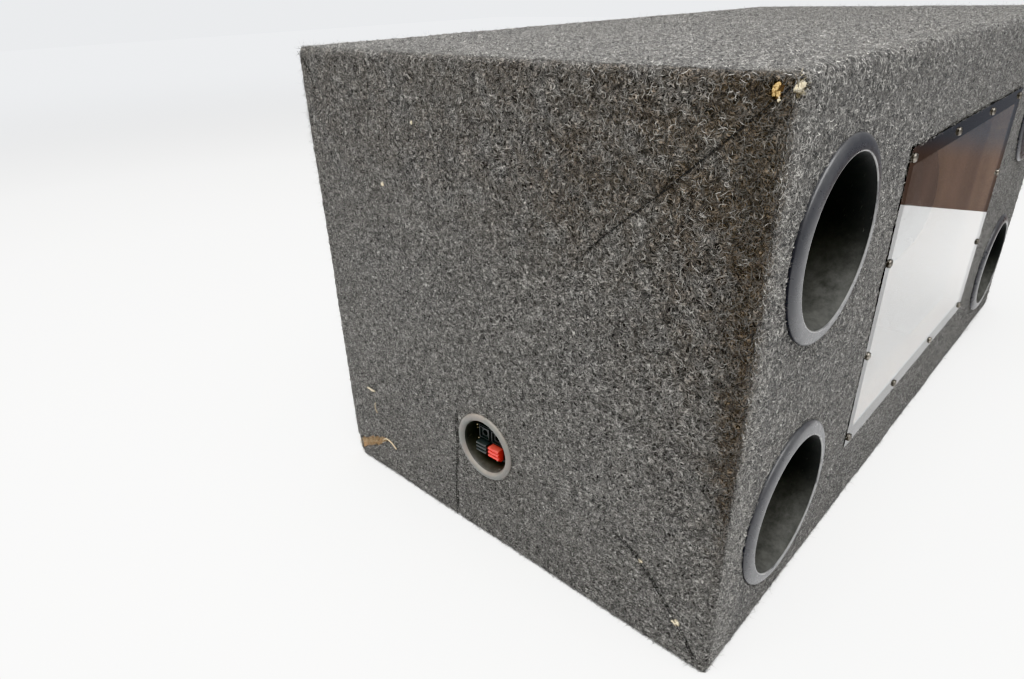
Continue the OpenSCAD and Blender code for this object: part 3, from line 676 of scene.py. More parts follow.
def carpet_sheet(name, us, vs, place, holes, seams=(), bare=(), stain_and_shade=None, flat_shift=(0, 0)):
    """A 4 mm carpet shell: a fine pile surface and its cut edges, open behind.

    holes are round (u, v, r) or square (u0, v0, u1, v1) openings, seams are paths pressed into the pile,
    and bare gives a test of which cells are torn away."""
    nu, nv = len(us), len(vs)
    u, v = [g.ravel() for g in np.meshgrid(us, vs, indexing="ij")]
    cell = (us[-1] - us[0]) / (nu - 1)
    crease = np.zeros(len(u))
    for path in seams:
        d, spot = near_path(u, v, path)
        on = d < 0.55 * cell
        u = np.where(on, spot[:, 0], u)
        v = np.where(on, spot[:, 1], v)
        crease = np.maximum(crease, np.where(on, 1.0, 0.0))
        crease = np.maximum(crease, 0.25 * np.exp(-((d / (2.2 * cell)) ** 2)))
    square = [h for h in holes if len(h) == 4]
    round_holes = [h for h in holes if len(h) == 3]
    index = np.arange(nu * nv).reshape(nu, nv)
    quads = np.stack([index[:-1, :-1], index[1:, :-1], index[1:, 1:], index[:-1, 1:]], -1).reshape(-1, 4)
    mid_u, mid_v = u[quads].mean(1), v[quads].mean(1)
    keep = np.ones(len(quads), bool)
    for u0, v0, u1, v1 in square:
        keep &= ~((mid_u > u0) & (mid_u < u1) & (mid_v > v0) & (mid_v < v1))
    for cu, cv, r in round_holes:
        keep &= np.hypot(mid_u - cu, mid_v - cv) > r
    for test in bare:
        keep &= ~test(mid_u, mid_v)
    quads = quads[keep]
    used = np.zeros(nu * nv, bool)
    used[quads.ravel()] = True
    edges = np.concatenate([quads[:, [i, (i + 1) % 4]] for i in range(4)])
    key = np.sort(edges, 1)
    key = key[:, 0] * (nu * nv) + key[:, 1]
    _, first, count = np.unique(key, return_index=True, return_counts=True)
    rim = edges[first[count == 1]]
    rim_points = np.unique(rim)
    for cu, cv, r in round_holes:
        d = np.hypot(u[rim_points] - cu, v[rim_points] - cv)
        close = rim_points[d < r + 2 * cell]
        d = np.hypot(u[close] - cu, v[close] - cv)
        u[close] = cu + (u[close] - cu) * r / d
        v[close] = cv + (v[close] - cv) * r / d
    core, out = place(u, v)
    face = core + EDGE_R * out
    height = relief(face) - CREASE_DEPTH * crease
    outer = face + out * height[:, None]
    outer[:, 2] = np.maximum(outer[:, 2], 0.05 * MM)
    inner = core[rim_points] + out[rim_points] * (EDGE_R - CARPET_T)
    order = np.cumsum(used) - 1
    points = np.concatenate([outer[used], inner])
    below = np.zeros(nu * nv, int)
    below[rim_points] = used.sum() + np.arange(len(rim_points))
    faces = order[quads]
    walls = np.stack([order[rim[:, 1]], order[rim[:, 0]], below[rim[:, 0]], below[rim[:, 1]]], 1)
    p, q, r = outer[quads[0, :3]]
    if np.cross(q - p, r - p) @ out[quads[0, 0]] < 0:
        faces, walls = faces[:, ::-1], walls[:, ::-1]
    piece = new_mesh(name, points, np.concatenate([faces, walls]))
    flat = np.stack([u, v], 1) + np.array(flat_shift)
    flat_map(piece, np.concatenate([flat[used], flat[rim_points]]))
    # Each point's stain and painted shade, stored for the carpet's material.
    if stain_and_shade is not None:
        amount = stain_and_shade(u, v)
        point_value(piece, "stain_and_shade", np.concatenate([amount[used], amount[rim_points]]))
    # The crease amount also darkens the carpet's colour: painted shade along the seams.
    point_value(piece, "crease", np.concatenate([crease[used], crease[rim_points]]))
    finish_piece(piece, "carpet")
    clear = used & (crease < 0.9)
    return piece, outer[clear], out[clear]


CUP_HOLE = (CUP_CENTRE[1] - FRONT_Y, CUP_CENTRE[2], 26 * MM)
PORT_HOLE_R = 57 * MM
END_CELL, WRAP_CELL, BOTTOM_CELL = 1.7 * MM, 3.1 * MM, 6 * MM   # of the pile's grid
END_TURN = 0.0018   # how far an end's grid runs on round its edges
# Seams of the carpeted ends: distance back from the front, and height
END_SEAMS = [
    [(0.0, 0.4), (0.065, 0.340), (0.105, 0.305), (0.117, 0.292)],
    [(0.010, 0.010), (0.026, 0.034), (0.059, 0.072), (0.078, 0.084)],
    [(0.250, 0.118), (0.252, 0.080), (0.256, 0.045), (0.258, 0.002)],
    [(DEPTH - 0.002, 0.403), (DEPTH - 0.016, 0.385), (DEPTH - 0.021, 0.375)],
]
SEAM_HALF_WIDTHS = (0.24, 0.48, 0.50, 0.30)   # of each seam's shadow, in mm


def end_stain_and_shade(a, b):
    """How stained and shaded an end is: a brown stain along its front edge, painted shade that darkens it
    broadly towards the front and towards the top, and two faint patches.
    """
    edge = 0.9 * np.exp(-((np.maximum(a, 0) / 0.011) ** 1.5)) * np.clip((b - 0.10) / 0.10, 0, 1)
    # painted shade: broadly darker towards the front edge
    broad = 0.42 * np.exp(-a / 0.13) * np.clip((b + 0.02) / 0.2, 0, 1)
    low = 0.15 * np.exp(-(((a - 0.20) / 0.05) ** 2) - ((b - 0.045) / 0.05) ** 2)
    spot = 0.12 * np.exp(-(((a - 0.135) / 0.03) ** 2) - ((b - 0.33) / 0.03) ** 2)
    # painted shade: darker towards the top
    top = 0.34 * np.clip((b - 0.20) / 0.15, 0, 1)
    return np.clip(edge + broad + low + spot + top, 0, 1)


def ragged(a, b, seed):
    """A random offset for the edge of a tear."""
    return 2.0 * MM * lattice(np.stack([a, b, a * 0], 1), 3 * MM, seed)


def torn(a, b):
    """Where the left end's carpet is missing: torn at the low back corner, worn at the top front."""
    rag = ragged(a, b, 9)
    line = 0.011 + (DEPTH - a) * 0.50
    into = a - (DEPTH - 0.064)
    tear = (into > 0) & (np.abs(b - line + rag) < 0.0075 * np.clip(into / 0.025, 0, 1))
    notch = np.hypot(a - DEPTH, (b - 0.011) * 0.8) + rag < 0.012
    spot = np.hypot((a - 0.0070) / 0.0030, (b - 0.3990) / 0.0045) + rag / 0.006 < 1
    return tear | notch | spot


def make_end(side_name):
    side = SIDES[side_name]
    us = lines(-END_TURN, DEPTH + END_TURN, END_CELL)
    vs = lines(-END_TURN, TOP_Z + END_TURN, END_CELL)
    bare = [torn] if side == LEFT else []
    seams = END_SEAMS if side == LEFT else END_SEAMS[:2]
    piece, points, out = carpet_sheet(
        f"carpet_end_{side_name}", us, vs, partial(end_place, side), [CUP_HOLE], seams, bare, end_stain_and_shade,
        (side * 3.0, 0),
    )
    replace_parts(piece, f"carpet_{side_name}_end")
    return points, out


def make_wrap():
    gap = 0.5 * MM
    window = (WINDOW_LOW[0] - gap, WINDOW_LOW[2] - gap, WINDOW_HIGH[0] + gap, WINDOW_HIGH[2] + gap)
    holes = [(window[0], window[1] + FRONT_START, window[2], window[3] + FRONT_START)]
    for side, level in itertools.product(SIDES, LEVELS):
        x, z = port_centre(level, side)
        holes.append((x, z + FRONT_START, PORT_HOLE_R))
    us = lines(-WOOD_X, WOOD_X, WRAP_CELL, window[0], window[2])
    vs = lines(0, WRAP_LENGTH, WRAP_CELL, holes[0][1], holes[0][3])
    top_start = FRONT_START + TOP_Z

    def bare(u, v):
        across, up = u + WOOD_X - 0.0085, v - (FRONT_START + 0.3985)
        return np.hypot(across / 0.0085, up / 0.0042) + ragged(u, v, 5) / 0.007 < 1

    def stain_and_shade(u, v):
        return np.exp(-(u + WOOD_X) / 0.011) * np.clip((v - 0.12) / 0.1, 0, 1) * (v < top_start + 0.02)

    piece, points, out = carpet_sheet("carpet_wrap_pile", us, vs, wrap_place, holes, [], [bare], stain_and_shade)
    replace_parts(piece, "carpet_wrap")
    return points, out


def make_bottom():
    def place(u, v):
        core = np.stack([u, v, np.full(len(u), EDGE_R)], 1)
        return core, np.tile([0.0, 0.0, -1.0], (len(u), 1))
    us = lines(-WOOD_X, WOOD_X, BOTTOM_CELL)
    vs = lines(FRONT_Y + EDGE_R, BACK_Y - EDGE_R, BOTTOM_CELL)
    piece, _, _ = carpet_sheet("carpet_underside", us, vs, place, [], flat_shift=(0, 2.0))
    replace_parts(piece, "carpet_bottom")


PILE = {"left": make_end("left"), "right": make_end("right"), "wrap": make_wrap()}
make_bottom()


# ---------- loose surface fibres ----------

def unit(vectors):
    return vectors / np.linalg.norm(vectors, axis=-1, keepdims=True)


ROOT_SPREAD = 1.2 * MM


def rooted(points, out, count, rng):
    """Random roots on a surface: their places, outward directions and two directions across."""
    pick = rng.integers(0, len(points), count)
    n = out[pick]
    a = unit(np.cross(n, rng.normal(size=(count, 3))))
    b = np.cross(n, a)
    shift = rng.uniform(-ROOT_SPREAD, ROOT_SPREAD, (2, count, 1))
    return points[pick] + a * shift[0] + b * shift[1], n, a, b


def above_floor(verts):
    verts[..., 2] = np.maximum(verts[..., 2], 0.3 * MM)
    return verts.reshape(-1, 3)


def curls(name, points, out, count, length, width, slot, seed):
    """Short curved ribbons that lie in the pile, a little raised in the middle."""
    rng = np.random.default_rng(seed)
    base, n, a, b = rooted(points, out, count, rng)
    reach = rng.uniform(*length, (count, 1))
    bend = rng.uniform(0.3, 2.6, (count, 1))
    sway = rng.uniform(-0.10, 0.10, (count, 1))
    rise = rng.uniform(-0.10, 0.14, (count, 1))
    peak = rng.uniform(0.1, 0.7, (count, 1)) * MM
    half = rng.uniform(0.7, 1.2, (count, 1)) * width / 2
    stations = np.linspace(-0.5, 0.5, 5)
    line = []
    for t in stations:
        along = reach * np.sin(bend * t) / bend
        aside = reach * ((1 - np.cos(bend * t)) / bend + sway * math.sin(2 * math.pi * t))
        lift = 0.3 * MM + peak * (1 - 4 * t * t) + rise * reach * t
        line.append(base + a * along + b * aside + n * lift)
    verts = []
    for i, t in enumerate(stations):
        ahead = unit(line[min(i + 1, 4)] - line[max(i - 1, 0)])
        side = np.cross(n, ahead) * half * (1 - 0.8 * (2 * t) ** 2)
        verts += [line[i] - side, line[i] + side]
    start = np.arange(count)[:, None, None] * 10
    pattern = np.array([[2 * i, 2 * i + 2, 2 * i + 3, 2 * i + 1] for i in range(4)])
    piece = new_mesh(name, above_floor(np.stack(verts, 1)), (start + pattern).reshape(-1, 4))
    return finish_piece(piece, "carpet", slot)


def spindles(name, points, out, count, length, lean, radius, slot, seed):
    """Thin bent fibres that stand out of the pile."""
    rng = np.random.default_rng(seed)
    base, n, a, b = rooted(points, out, count, rng)
    tilt = np.radians(rng.uniform(*lean, count))[:, None]
    way = a * np.cos(tilt) + n * np.sin(tilt)
    lift = np.cross(way, b)
    reach = rng.uniform(*length, (count, 1))
    bend = b * rng.uniform(-0.28, 0.28, (count, 1)) * reach - n * 0.12 * reach * np.sin(tilt)
    middle = base + way * reach * 0.5 + bend * 0.8
    tip = base + way * reach - bend * 0.3
    thick = (radius * rng.uniform(0.7, 1.2, count))[:, None]
    ring = [middle + thick * (b * math.cos(t) + lift * math.sin(t)) for t in (0.5, 2.6, 4.7)]
    start = np.arange(count)[:, None, None] * 5
    pattern = np.array([[0, 2, 1], [0, 3, 2], [0, 1, 3], [4, 1, 2], [4, 2, 3], [4, 3, 1]])
    verts = above_floor(np.stack([base - n * 0.2 * MM, *ring, tip], 1))
    return finish_piece(new_mesh(name, verts, (start + pattern).reshape(-1, 3)), "carpet", slot)


CURL_TONES = [   # tone, ribbons per square metre, length and width in mm
    ("dark", 38000, (3, 7), 0.60),
    ("mid", 20000, (3, 7), 0.45),
    ("pale", 32000, (2.6, 6.5), 0.40),
    ("light", 34000, (2.4, 6), 0.34),
]
END_DENSITY, END_FINENESS = 2.5, 0.48   # the ends' pile is finer and closer
CURLS_PER_PIECE = 24000
DARKENED_LOSS = 0.88   # of the paler ribbons, where an end is fully stained and in painted shade
OPENINGS_AREA = 0.14   # of the window and the ports, roughly


def make_curls():
    """The ribbons of every tone on the ends and the wrap, with the paler ones thinned where the ends are
    stained and in painted shade.
    """
    share = 1.0
    areas = {"left": DEPTH * TOP_Z, "right": DEPTH * TOP_Z, "wrap": 2 * WOOD_X * WRAP_LENGTH - OPENINGS_AREA}
    for place, (points, out) in PILE.items():
        for kind, (tone, density, length, width) in enumerate(CURL_TONES):
            on_end = place != "wrap"
            if on_end and tone in ("pale", "light"):
                # Fewer pale ribbons where an end is stained and in painted shade.
                darkened = end_stain_and_shade(points[:, 1] - FRONT_Y, points[:, 2])
                keep = np.random.default_rng(70 + kind).random(len(points)) > DARKENED_LOSS * darkened
                roots, rise, kept = points[keep], out[keep], keep.mean()
            else:
                roots, rise, kept = points, out, 1.0
            left_over = int(density * areas[place] * share * (END_DENSITY if on_end else 1) * kept)
            wide = width * MM * (END_FINENESS if on_end else 1)
            part = 0
            while left_over > 0:
                count = min(left_over, CURLS_PER_PIECE)
                curls(
                    f"curls_{place}_{tone}_{part}", roots, rise, count, (length[0] * MM, length[1] * MM), wide,
                    f"fibre_{tone}", 100 * kind + part,
                )
                left_over -= count
                part += 1


def make_fuzz():
    """Fine fibres that stand out of the faces, and longer ones along the rounded edges."""
    share = 1.0

    def fuzz(name, roots, count, length, lean, thick, slot, seed):
        length = (length[0] * MM, length[1] * MM)
        spindles(name, *roots, count, length, lean, thick * MM, slot, seed)

    for k, (place, (points, out)) in enumerate(PILE.items()):
        count = int(len(points) * 0.16 * share)
        fuzz(f"fuzz_{place}", (points, out), count, (2, 6), (8, 55), 0.09, "fibre_pale", 21 + k)
        edge = np.abs(out).max(1) < 0.985
        count = int(edge.sum() * 0.5 * share)
        fuzz(f"edge_fuzz_{place}", (points[edge], out[edge]), count, (3, 9), (5, 80), 0.09, "fibre_mid", 31 + k)
    points, out = PILE["wrap"]
    rim = (points[:, 0] < -HALF_W + 0.030) & (out[:, 1] < -0.9)
    fuzz("front_edge_fuzz", (points[rim], out[rim]), 1500, (2, 6), (5, 50), 0.08, "fibre_light", 43)
    points, out = PILE["left"]
    high = (points[:, 1] < FRONT_Y + 0.022) & (points[:, 2] > 0.12)
    roots = points[high], out[high]
    fuzz("stained_fuzz", roots, 1300, (4, 11), (2, 40), 0.08, "fibre_mid", 41)
    fuzz("stained_fuzz_pale", roots, 420, (4, 11), (2, 40), 0.08, "fibre_pale", 42)


def on_left_end(a, b, off):
    """A place on the left end, this many mm off the carpet's face."""
    return np.array((-HALF_W - off * MM, FRONT_Y + a, b))


END, FRONT = "end", "front"
CHIPS = {   # face, distance from the corner, height, and each flake's length and height, in mm
    "lint": [
        (END, 26, 34, 4.5, 4.0), (END, 59, 72, 2.6, 2.0), (END, 319, 307, 2.6, 2.2), (END, 275, 359, 1.8, 2.2),
        (END, 377, 93, 11.0, 2.6), (END, 5, 394.5, 1.3, 1.8), (FRONT, 9, 399.3, 7.0, 3.2),
        (FRONT, 13, 400, 4.6, 2.2),
    ],
    "glue": [(END, 6.5, 400.5, 2.6, 2.2), (END, 7.6, 398, 2.2, 3.6), (END, 5.8, 397, 1.6, 2.0)],
}
CUP_LINT_AND_GLINTS = [   # pale lint, those along the block's left edge painted glints: place along the cup's own axes, and radius, in mm
    (-15.6, 12.4, -7.2, 0.75), (-15.4, 9.2, -7.4, 0.5), (-15.2, -1.5, -7.5, 0.6), (-14.9, -5.5, -7.6, 0.45),
    (-14.0, -10.0, -7.8, 0.5), (-6.0, -19.0, -14.0, 0.8), (2.0, -20.5, -12.0, 0.9), (-16.0, -14.0, -16.0, 0.6),
]
LONG_CURLS = [   # radius, and places (a, b) with how far they stand off, in mm
    (0.55, [(364, 39, 1.0), (357, 43, 2.2), (350, 42, 2.4), (344, 36, 1.4)]),
    (0.32, [(371, 80, 0.8), (372, 74, 1.2), (370, 68, 0.8)]),
]


def flake(face, away, up, length, height, rng):
    """Points and triangles of one flat, lumpy chip."""
    shape, faces = ball(4)
    start = rng.uniform(0, 50, 3)
    shape *= 1 + 0.9 * lattice(shape + start, 0.7, 3)[:, None] + 0.5 * lattice(shape + start, 0.25, 4)[:, None]
    if face == END:
        centre, size = on_left_end(away * MM, up * MM, 0), (0.6, length / 2, height / 2)
    else:
        centre, size = np.array((-HALF_W + away * MM, FRONT_Y, up * MM)), (length / 2, 0.6, height / 2)
    return centre + shape * np.array(size) * MM, faces


def make_scraps():
    """Chips and lint caught in the left end's pile, and frayed fibres at its torn spots."""
    rng = np.random.default_rng(5)
    for kind, places in CHIPS.items():
        points, faces = joined([flake(*place, rng) for place in places])
        finish_piece(weld(new_mesh(f"{kind}_chips", points, faces)), "mdf", kind)
    # Pale lint crumbs in the terminal cup; those along the block's left edge are painted glints.
    points, faces = ball(2)
    cup = (-HALF_W, *CUP_CENTRE[1:])
    lint_and_glints = [(placed((x, y, z), cup, END_AXES[LEFT]) + points * r * MM, faces) for x, y, z, r in CUP_LINT_AND_GLINTS]
    finish_piece(new_mesh("cup_lint_and_glints", *joined(lint_and_glints)), "cup_plastic", "lint")
    for k, (radius, path) in enumerate(LONG_CURLS):
        line = smooth_path([on_left_end(a * MM, b * MM, off) for a, b, off in path], 5)
        finish_piece(new_mesh(f"curl_{k}", *rod(line, radius * MM, 6)), "mdf", "fibre_tan")
    a = DEPTH - rng.uniform(0.002, 0.060, 500)
    b = 0.011 + (DEPTH - a) * 0.50 + rng.normal(0, 0.0035, 500)
    roots = np.stack([np.full(500, -WOOD_X - 0.4 * MM), FRONT_Y + a, b], 1)
    out = np.tile([-1.0, 0.0, 0.0], (500, 1))
    spindles("frayed_board", roots, out, 420, (2 * MM, 6 * MM), (15, 60), 0.14 * MM, "fibre_tan", 51)
    x, z = -WOOD_X + rng.normal(0.0085, 0.004, 300), rng.normal(0.3985, 0.002, 300)
    roots = np.stack([x, np.full(300, WOOD_FRONT - 2 * MM), z], 1)
    out = np.tile([0.0, -1.0, 0.0], (300, 1))
    spindles("frayed_corner", roots, out, 240, (2 * MM, 5 * MM), (0, 50), 0.16 * MM, "lint", 52)


def make_seam_lines():
    """The thin broken shadow where two edges of the left end's carpet meet."""
    rng = np.random.default_rng(61)
    points, faces = [], []
    for path, half_width in zip(END_SEAMS, SEAM_HALF_WIDTHS):
        line = smooth_path([on_left_end(a, b, 0.9) for a, b in path], 30)
        for i in range(len(line) - 1):
            ahead = unit(line[i + 1] - line[i])
            across = np.cross((1, 0, 0), ahead) * rng.uniform(0.6, 1.3) * half_width * MM
            if rng.random() < 0.86:
                faces.append([len(points) + k for k in range(4)])
                points += [line[i] - across, line[i + 1] - across, line[i + 1] + across, line[i] + across]
    finish_piece(new_mesh("seam_lines", points, faces), "carpet", "fibre_dark")


make_curls()
make_fuzz()
make_scraps()
make_seam_lines()


# ---------- hard parts ----------

def lathe(name, outline, origin, axes, slot, steps, body="cabinet", nodes=()):
    """A closed outline of (r, z) in mm, spun round the frame's z axis."""
    points, faces = spun(outline, steps)
    piece = weld(new_mesh(name, placed(points, origin, axes), faces, body=body), 30)
    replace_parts(piece, *nodes)
    return finish_piece(piece, slot)


STEEP = math.radians(28)   # edges sharper than this are bevelled


def bevelled(work, width):
    edges = [e for e in work.edges if len(e.link_faces) == 2 and e.calc_face_angle(0) > STEEP]
    bmesh.ops.bevel(work, geom=edges, offset=width, segments=2, profile=0.5, affect="EDGES", clamp_overlap=True)


def from_work(name, work, slot, body, sharp=15):
    """A finished piece from a working mesh."""
    mesh = bpy.data.meshes.new(name)
    work.to_mesh(mesh)
    work.free()
    for face in mesh.polygons:
        face.use_smooth = True
    mesh.set_sharp_from_angle(angle=math.radians(sharp))
    return finish_piece(add_object(name, mesh, body), slot)


SLOTS = {row["node"]: row["material_slot"] for row in frame["record"]["subparts"]}


def node_work(node):
    """A working copy of a CAD node's mesh, with its doubled points merged."""
    work = bmesh.new()
    work.from_mesh(frame["nodes"][node].data)
    bmesh.ops.remove_doubles(work, verts=work.verts, dist=1e-6)
    return work


def softened(node, width):
    """The CAD node's own shape with its hard edges rounded off by this many mm."""
    work = node_work(node)
    bmesh.ops.dissolve_limit(work, angle_limit=math.radians(0.4), verts=work.verts, edges=work.edges)
    bevelled(work, width * MM)
    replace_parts(from_work(f"{node}_finished", work, SLOTS[node], "cabinet"), node)


def boxes(name, spans, origin, axes, slot, bevel):
    """Bevelled boxes between low and high corners, in mm, as one piece."""
    work = bmesh.new()
    for low, high in spans:
        low, high = np.array(low), np.array(high)
        verts = bmesh.ops.create_cube(work, size=1)["verts"]
        for v in verts:
            v.co = (low + high) / 2 + np.array(v.co) * (high - low)
    bevelled(work, bevel)
    for v in work.verts:
        v.co = placed(v.co, origin, axes)
    return from_work(name, work, slot, "cabinet")


def extruded(name, outline, low_x, high_x, origin, axes, slot, bevel, body):
    """A side outline of (y, z) carried from low_x to high_x, in mm, with bevelled edges."""
    work = bmesh.new()
    sides = [[work.verts.new((x, y, z)) for y, z in outline] for x in (low_x, high_x)]
    work.faces.new(sides[0])
    work.faces.new(sides[1][::-1])
    for i in range(len(outline)):
        k = (i + 1) % len(outline)
        work.faces.new((sides[0][k], sides[0][i], sides[1][i], sides[1][k]))
    bmesh.ops.recalc_face_normals(work, faces=work.faces)
    bevelled(work, bevel)
    for v in work.verts:
        v.co = placed(v.co, origin, axes)
    return from_work(name, work, slot, body, 25)


def screw_shape(head_r, head_h, shank_r, length):
    """Points and triangles of a pan-head screw with a cross recess, in mm, standing on z = 0."""
    outline = [(0, head_h), (head_r * 0.5, head_h), (head_r * 0.86, head_h * 0.78), (head_r, head_h * 0.35)]
    outline += [(head_r, 0), (shank_r, 0), (shank_r, shank_r - length), (0, -length)]
    points, faces = spun(rounded([(r, z, 0.25 * (r > 0)) for r, z in outline]), 40)
    head = weld(new_mesh("screw", points, faces, body=None))
    work = bmesh.new()
    for across in ((0.13, 0.55), (0.55, 0.13)):
        for v in bmesh.ops.create_cube(work, size=2)["verts"]:
            wide = head_r * (0.6 if v.co.z < 0 else 1.0)
            v.co = (v.co.x * across[0] * wide, v.co.y * across[1] * wide, head_h + v.co.z * head_h * 0.55)
    cross = add_object("cross", bpy.data.meshes.new("cross"))
    work.to_mesh(cross.data)
    work.free()
    cut = head.modifiers.new("cut", "BOOLEAN")
    cut.object = cross
    cut.use_self = True   # the cross's two bars overlap
    bpy.context.view_layer.update()
    result = head.evaluated_get(bpy.context.evaluated_depsgraph_get()).to_mesh()
    result.calc_loop_triangles()
    points = points_of(result)
    triangles = np.array([t.vertices for t in result.loop_triangles])
    bpy.data.objects.remove(head)
    bpy.data.objects.remove(cross)
    return points, triangles


def screws(name, shape, places, slot, nodes):
    """Copies of a screw. Each place is an origin, the axes and how far the cross is turned."""
    points, triangles = shape
    copies = []
    for origin, axes, turn in places:
        c, s = math.cos(turn), math.sin(turn)
        spin = np.array([[c, -s, 0], [s, c, 0], [0, 0, 1]])
        copies.append((placed(points @ spin.T, origin, axes), triangles))
    piece = weld(new_mesh(name, *joined(copies)), 35)
    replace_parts(piece, *nodes)
    return finish_piece(piece, slot)


SOFTENED = {   # node: how far its edges are rounded, in mm
    "panel_bottom": 0.6, "panel_top": 0.6, "panel_left_end": 0.6, "panel_right_end": 0.6, "panel_back": 0.6,
    "front_baffle": 0.6, "partition_left": 0.6, "partition_right": 0.6, "window_panel": 0.5,
    "window_gasket": 0.15,
}
WINDOW_INSET = 8 * MM   # of its screws from its edge


def make_window():
    """The window's twelve screws."""
    half_x, _, half_z = (WINDOW_HIGH - WINDOW_LOW) / 2 - WINDOW_INSET
    places = []
    for i, k in itertools.product((-3, -1, 1, 3), repeat=2):
        if abs(i) == 3 or abs(k) == 3:
            origin = (i / 3 * half_x, WINDOW_LOW[1], WINDOW_MID_Z + k / 3 * half_z)
            places.append((origin, FRONT_AXES, 0.9 * i + 2.3 * k))
    screws("window_screw_set", screw_shape(3.6, 2.2, 2, 16), places, "zinc_screw", ["window_screws"])


def make_ports():
    """Each port's flare, with a painted highlight along its inner lip, then the throat behind it, darkened as
    painted shade, and the tube.
    """
    lip = [(55.2, 3.9), (55.3, 4.3), (55.45, 4.65), (55.75, 4.92), (56.1, 5.02), (56.5, 5.0)]
    flare = lip[1:] + arc(57.0, 4.95, 66, 0.9, 18)[1:] + [(65.8, -0.6), (56.5, -0.8), (56.5, 3.0), (55.4, 4.0)]
    throat = [(56.4, 2.9), (56.5, -33.6), (56.1, -34), (54.6, -34), (54.2, -33.6), (54.2, -12.04)]
    throat += arc(55.3, 4.2, 51, -12.04, 20, 22)[::-1]
    tube = rounded([(51, -12.06, 0), (54, -12.06, 0), (54, -130.1, 0.8), (51, -130.1, 0.8)])
    for side, level in itertools.product(SIDES, LEVELS):
        x, z = port_centre(level, side)
        origin = (x, FRONT_Y, z)
        name = f"{level}_{side}"
        node = f"port_flare_{name}"
        ring = lathe(f"flare_{name}", flare, origin, FRONT_AXES, "port_plastic", 192, nodes=[node])
        co = (points_of(ring.data) - np.array(origin)) / MM
        across = np.hypot(co[:, 0], co[:, 2])
        # Points on the lip's crest get the wear attribute, which paints them pale as a highlight.
        point_value(ring, "wear", ((-co[:, 1] > 4.2) & (across < 56.3)).astype(float))
        # The throat belongs to the flare but takes the tube's near-black plastic: painted shade inside the
        # bore.
        lathe(f"throat_{name}", throat, origin, FRONT_AXES, "tube_plastic", 192, nodes=[node])
        lathe(f"tube_{name}", tube, origin, FRONT_AXES, "tube_plastic", 160, nodes=[f"port_tube_{name}"])


WAY_X, LEVER_Y = 7.2, -6.6   # a terminal way's place in the cup, and its lever's, in mm
COIL_FOOT, COIL_TOP, COIL_TURNS = -21.5, -12.5, 4
LEVER_OUTLINE = [   # from the side, with its grip ridges
    (-5.8, -12), (5.8, -12), (5.8, -3.0), (5.4, -1.9), (3.9, -1.7), (3.4, -3.2), (2.5, -3.2), (2.0, -1.7),
    (0.3, -1.7), (-0.2, -3.2), (-1.1, -3.2), (-1.6, -1.7), (-3.1, -1.7), (-5.8, -5.2),
]


def make_terminals():
    inner = arc(26.9, 2.95, 23.5, -3.2, 16, 12)
    ring = arc(27.3, 3.0, 31, 0.5, 14) + [(30.6, -0.5), (25.5, -0.6)] + inner[:9][::-1]
    well = [(25.4, -0.7), (25.5, -26), (0, -26), (0, -24), (23.1, -24), (23.5, -23.6)] + inner[8:][::-1]
    block_screws = []
    for side_name, side in SIDES.items():
        origin, axes = (side * HALF_W, CUP_CENTRE[1], CUP_CENTRE[2]), END_AXES[side]
        node = f"terminal_cup_{side_name}"
        lathe(f"cup_ring_{side_name}", ring, origin, axes, "cup_plastic", 128, nodes=[node])
        # The well is the same moulding as the ring but near-black: painted shade in the recess.
        bowl = lathe(f"cup_well_{side_name}", well, origin, axes, "cup_plastic", 128, nodes=[node])
        finish_piece(bowl, "cup_plastic", "well_plastic")
        softened(f"terminal_block_{side_name}", 0.45)
        bars = []
        for way in (-1, 1):
            x = way * WAY_X
            for low_x, high_x, low_y, high_y in (
                (-5.9, 5.9, 11.6, 12.8), (-5.9, 5.9, 1.3, 2.5), (-5.9, -4.7, 1.9, 12.2), (4.7, 5.9, 1.9, 12.2)
            ):
                bars.append(((x + low_x, low_y, -9), (x + high_x, high_y, -6.6)))
        bars.append(((-15, 13.2, -9), (15, 14, -7.2)))
        boxes(f"wire_frames_{side_name}", bars, origin, axes, "block_plastic", 0.25)
        for colour, way in (("red", 1), ("black", -1)):
            body, slot, which = f"push_lever_{colour}_{side_name}", f"lever_{colour}", f"{colour}_{side_name}"
            centre = placed((way * WAY_X, LEVER_Y, 0), origin, axes)
            tab = extruded(f"tab_{which}", LEVER_OUTLINE, -6, 6, centre, axes, slot, 0.28, body)
            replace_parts(tab, f"lever_{which}")
            stem = rounded([(0, -11.5, 0), (2, -11.5, 0), (2, -14, 0.4), (0, -14, 0)])
            lathe(f"stem_{which}", stem, centre, axes, slot, 32, body)
            turn = np.linspace(0, COIL_TURNS * 2 * math.pi, 96)
            coil = np.stack([2.9 * np.cos(turn), 2.9 * np.sin(turn), np.linspace(COIL_FOOT, COIL_TOP, 96)], 1)
            spring = new_mesh(f"spring_{which}", *rod(placed(coil, centre, axes), 0.35 * MM, 10))
            finish_piece(weld(spring, 40), "spring_steel")
            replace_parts(spring, f"lever_spring_{which}")
            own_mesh(spring)
        for k in (-1, 1):
            block_screws.append((placed((-18 * k, 9 * k, -22), origin, axes), axes, 0.5 * k))
    shape = screw_shape(2.4, 1.6, 1.2, 8)
    screws("block_screw_set", shape, block_screws, "zinc_screw", ["terminal_block_screws"])
    softened("contact_plates", 0.15)
    softened("lead_connectors", 0.2)


def blended(piece, share):
    """Bakes the piece's placement into its points; share, 0 at the cabinet and 1 at that side's cone, is eased
    but not used.
    """
    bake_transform(piece)
    share = np.clip(share, 0, 1)
    share = (share * share * (3 - 2 * share)).astype(np.float32)


def radii(piece, origin):
    """Each point's distance from a driver's axis, in mm."""
    co = points_of(piece.data) - np.array(origin)
    return np.hypot(co[:, 1], co[:, 2]) / MM


DRIVER_X = 0.200   # of each basket's mounting face
RING = 2 * math.pi


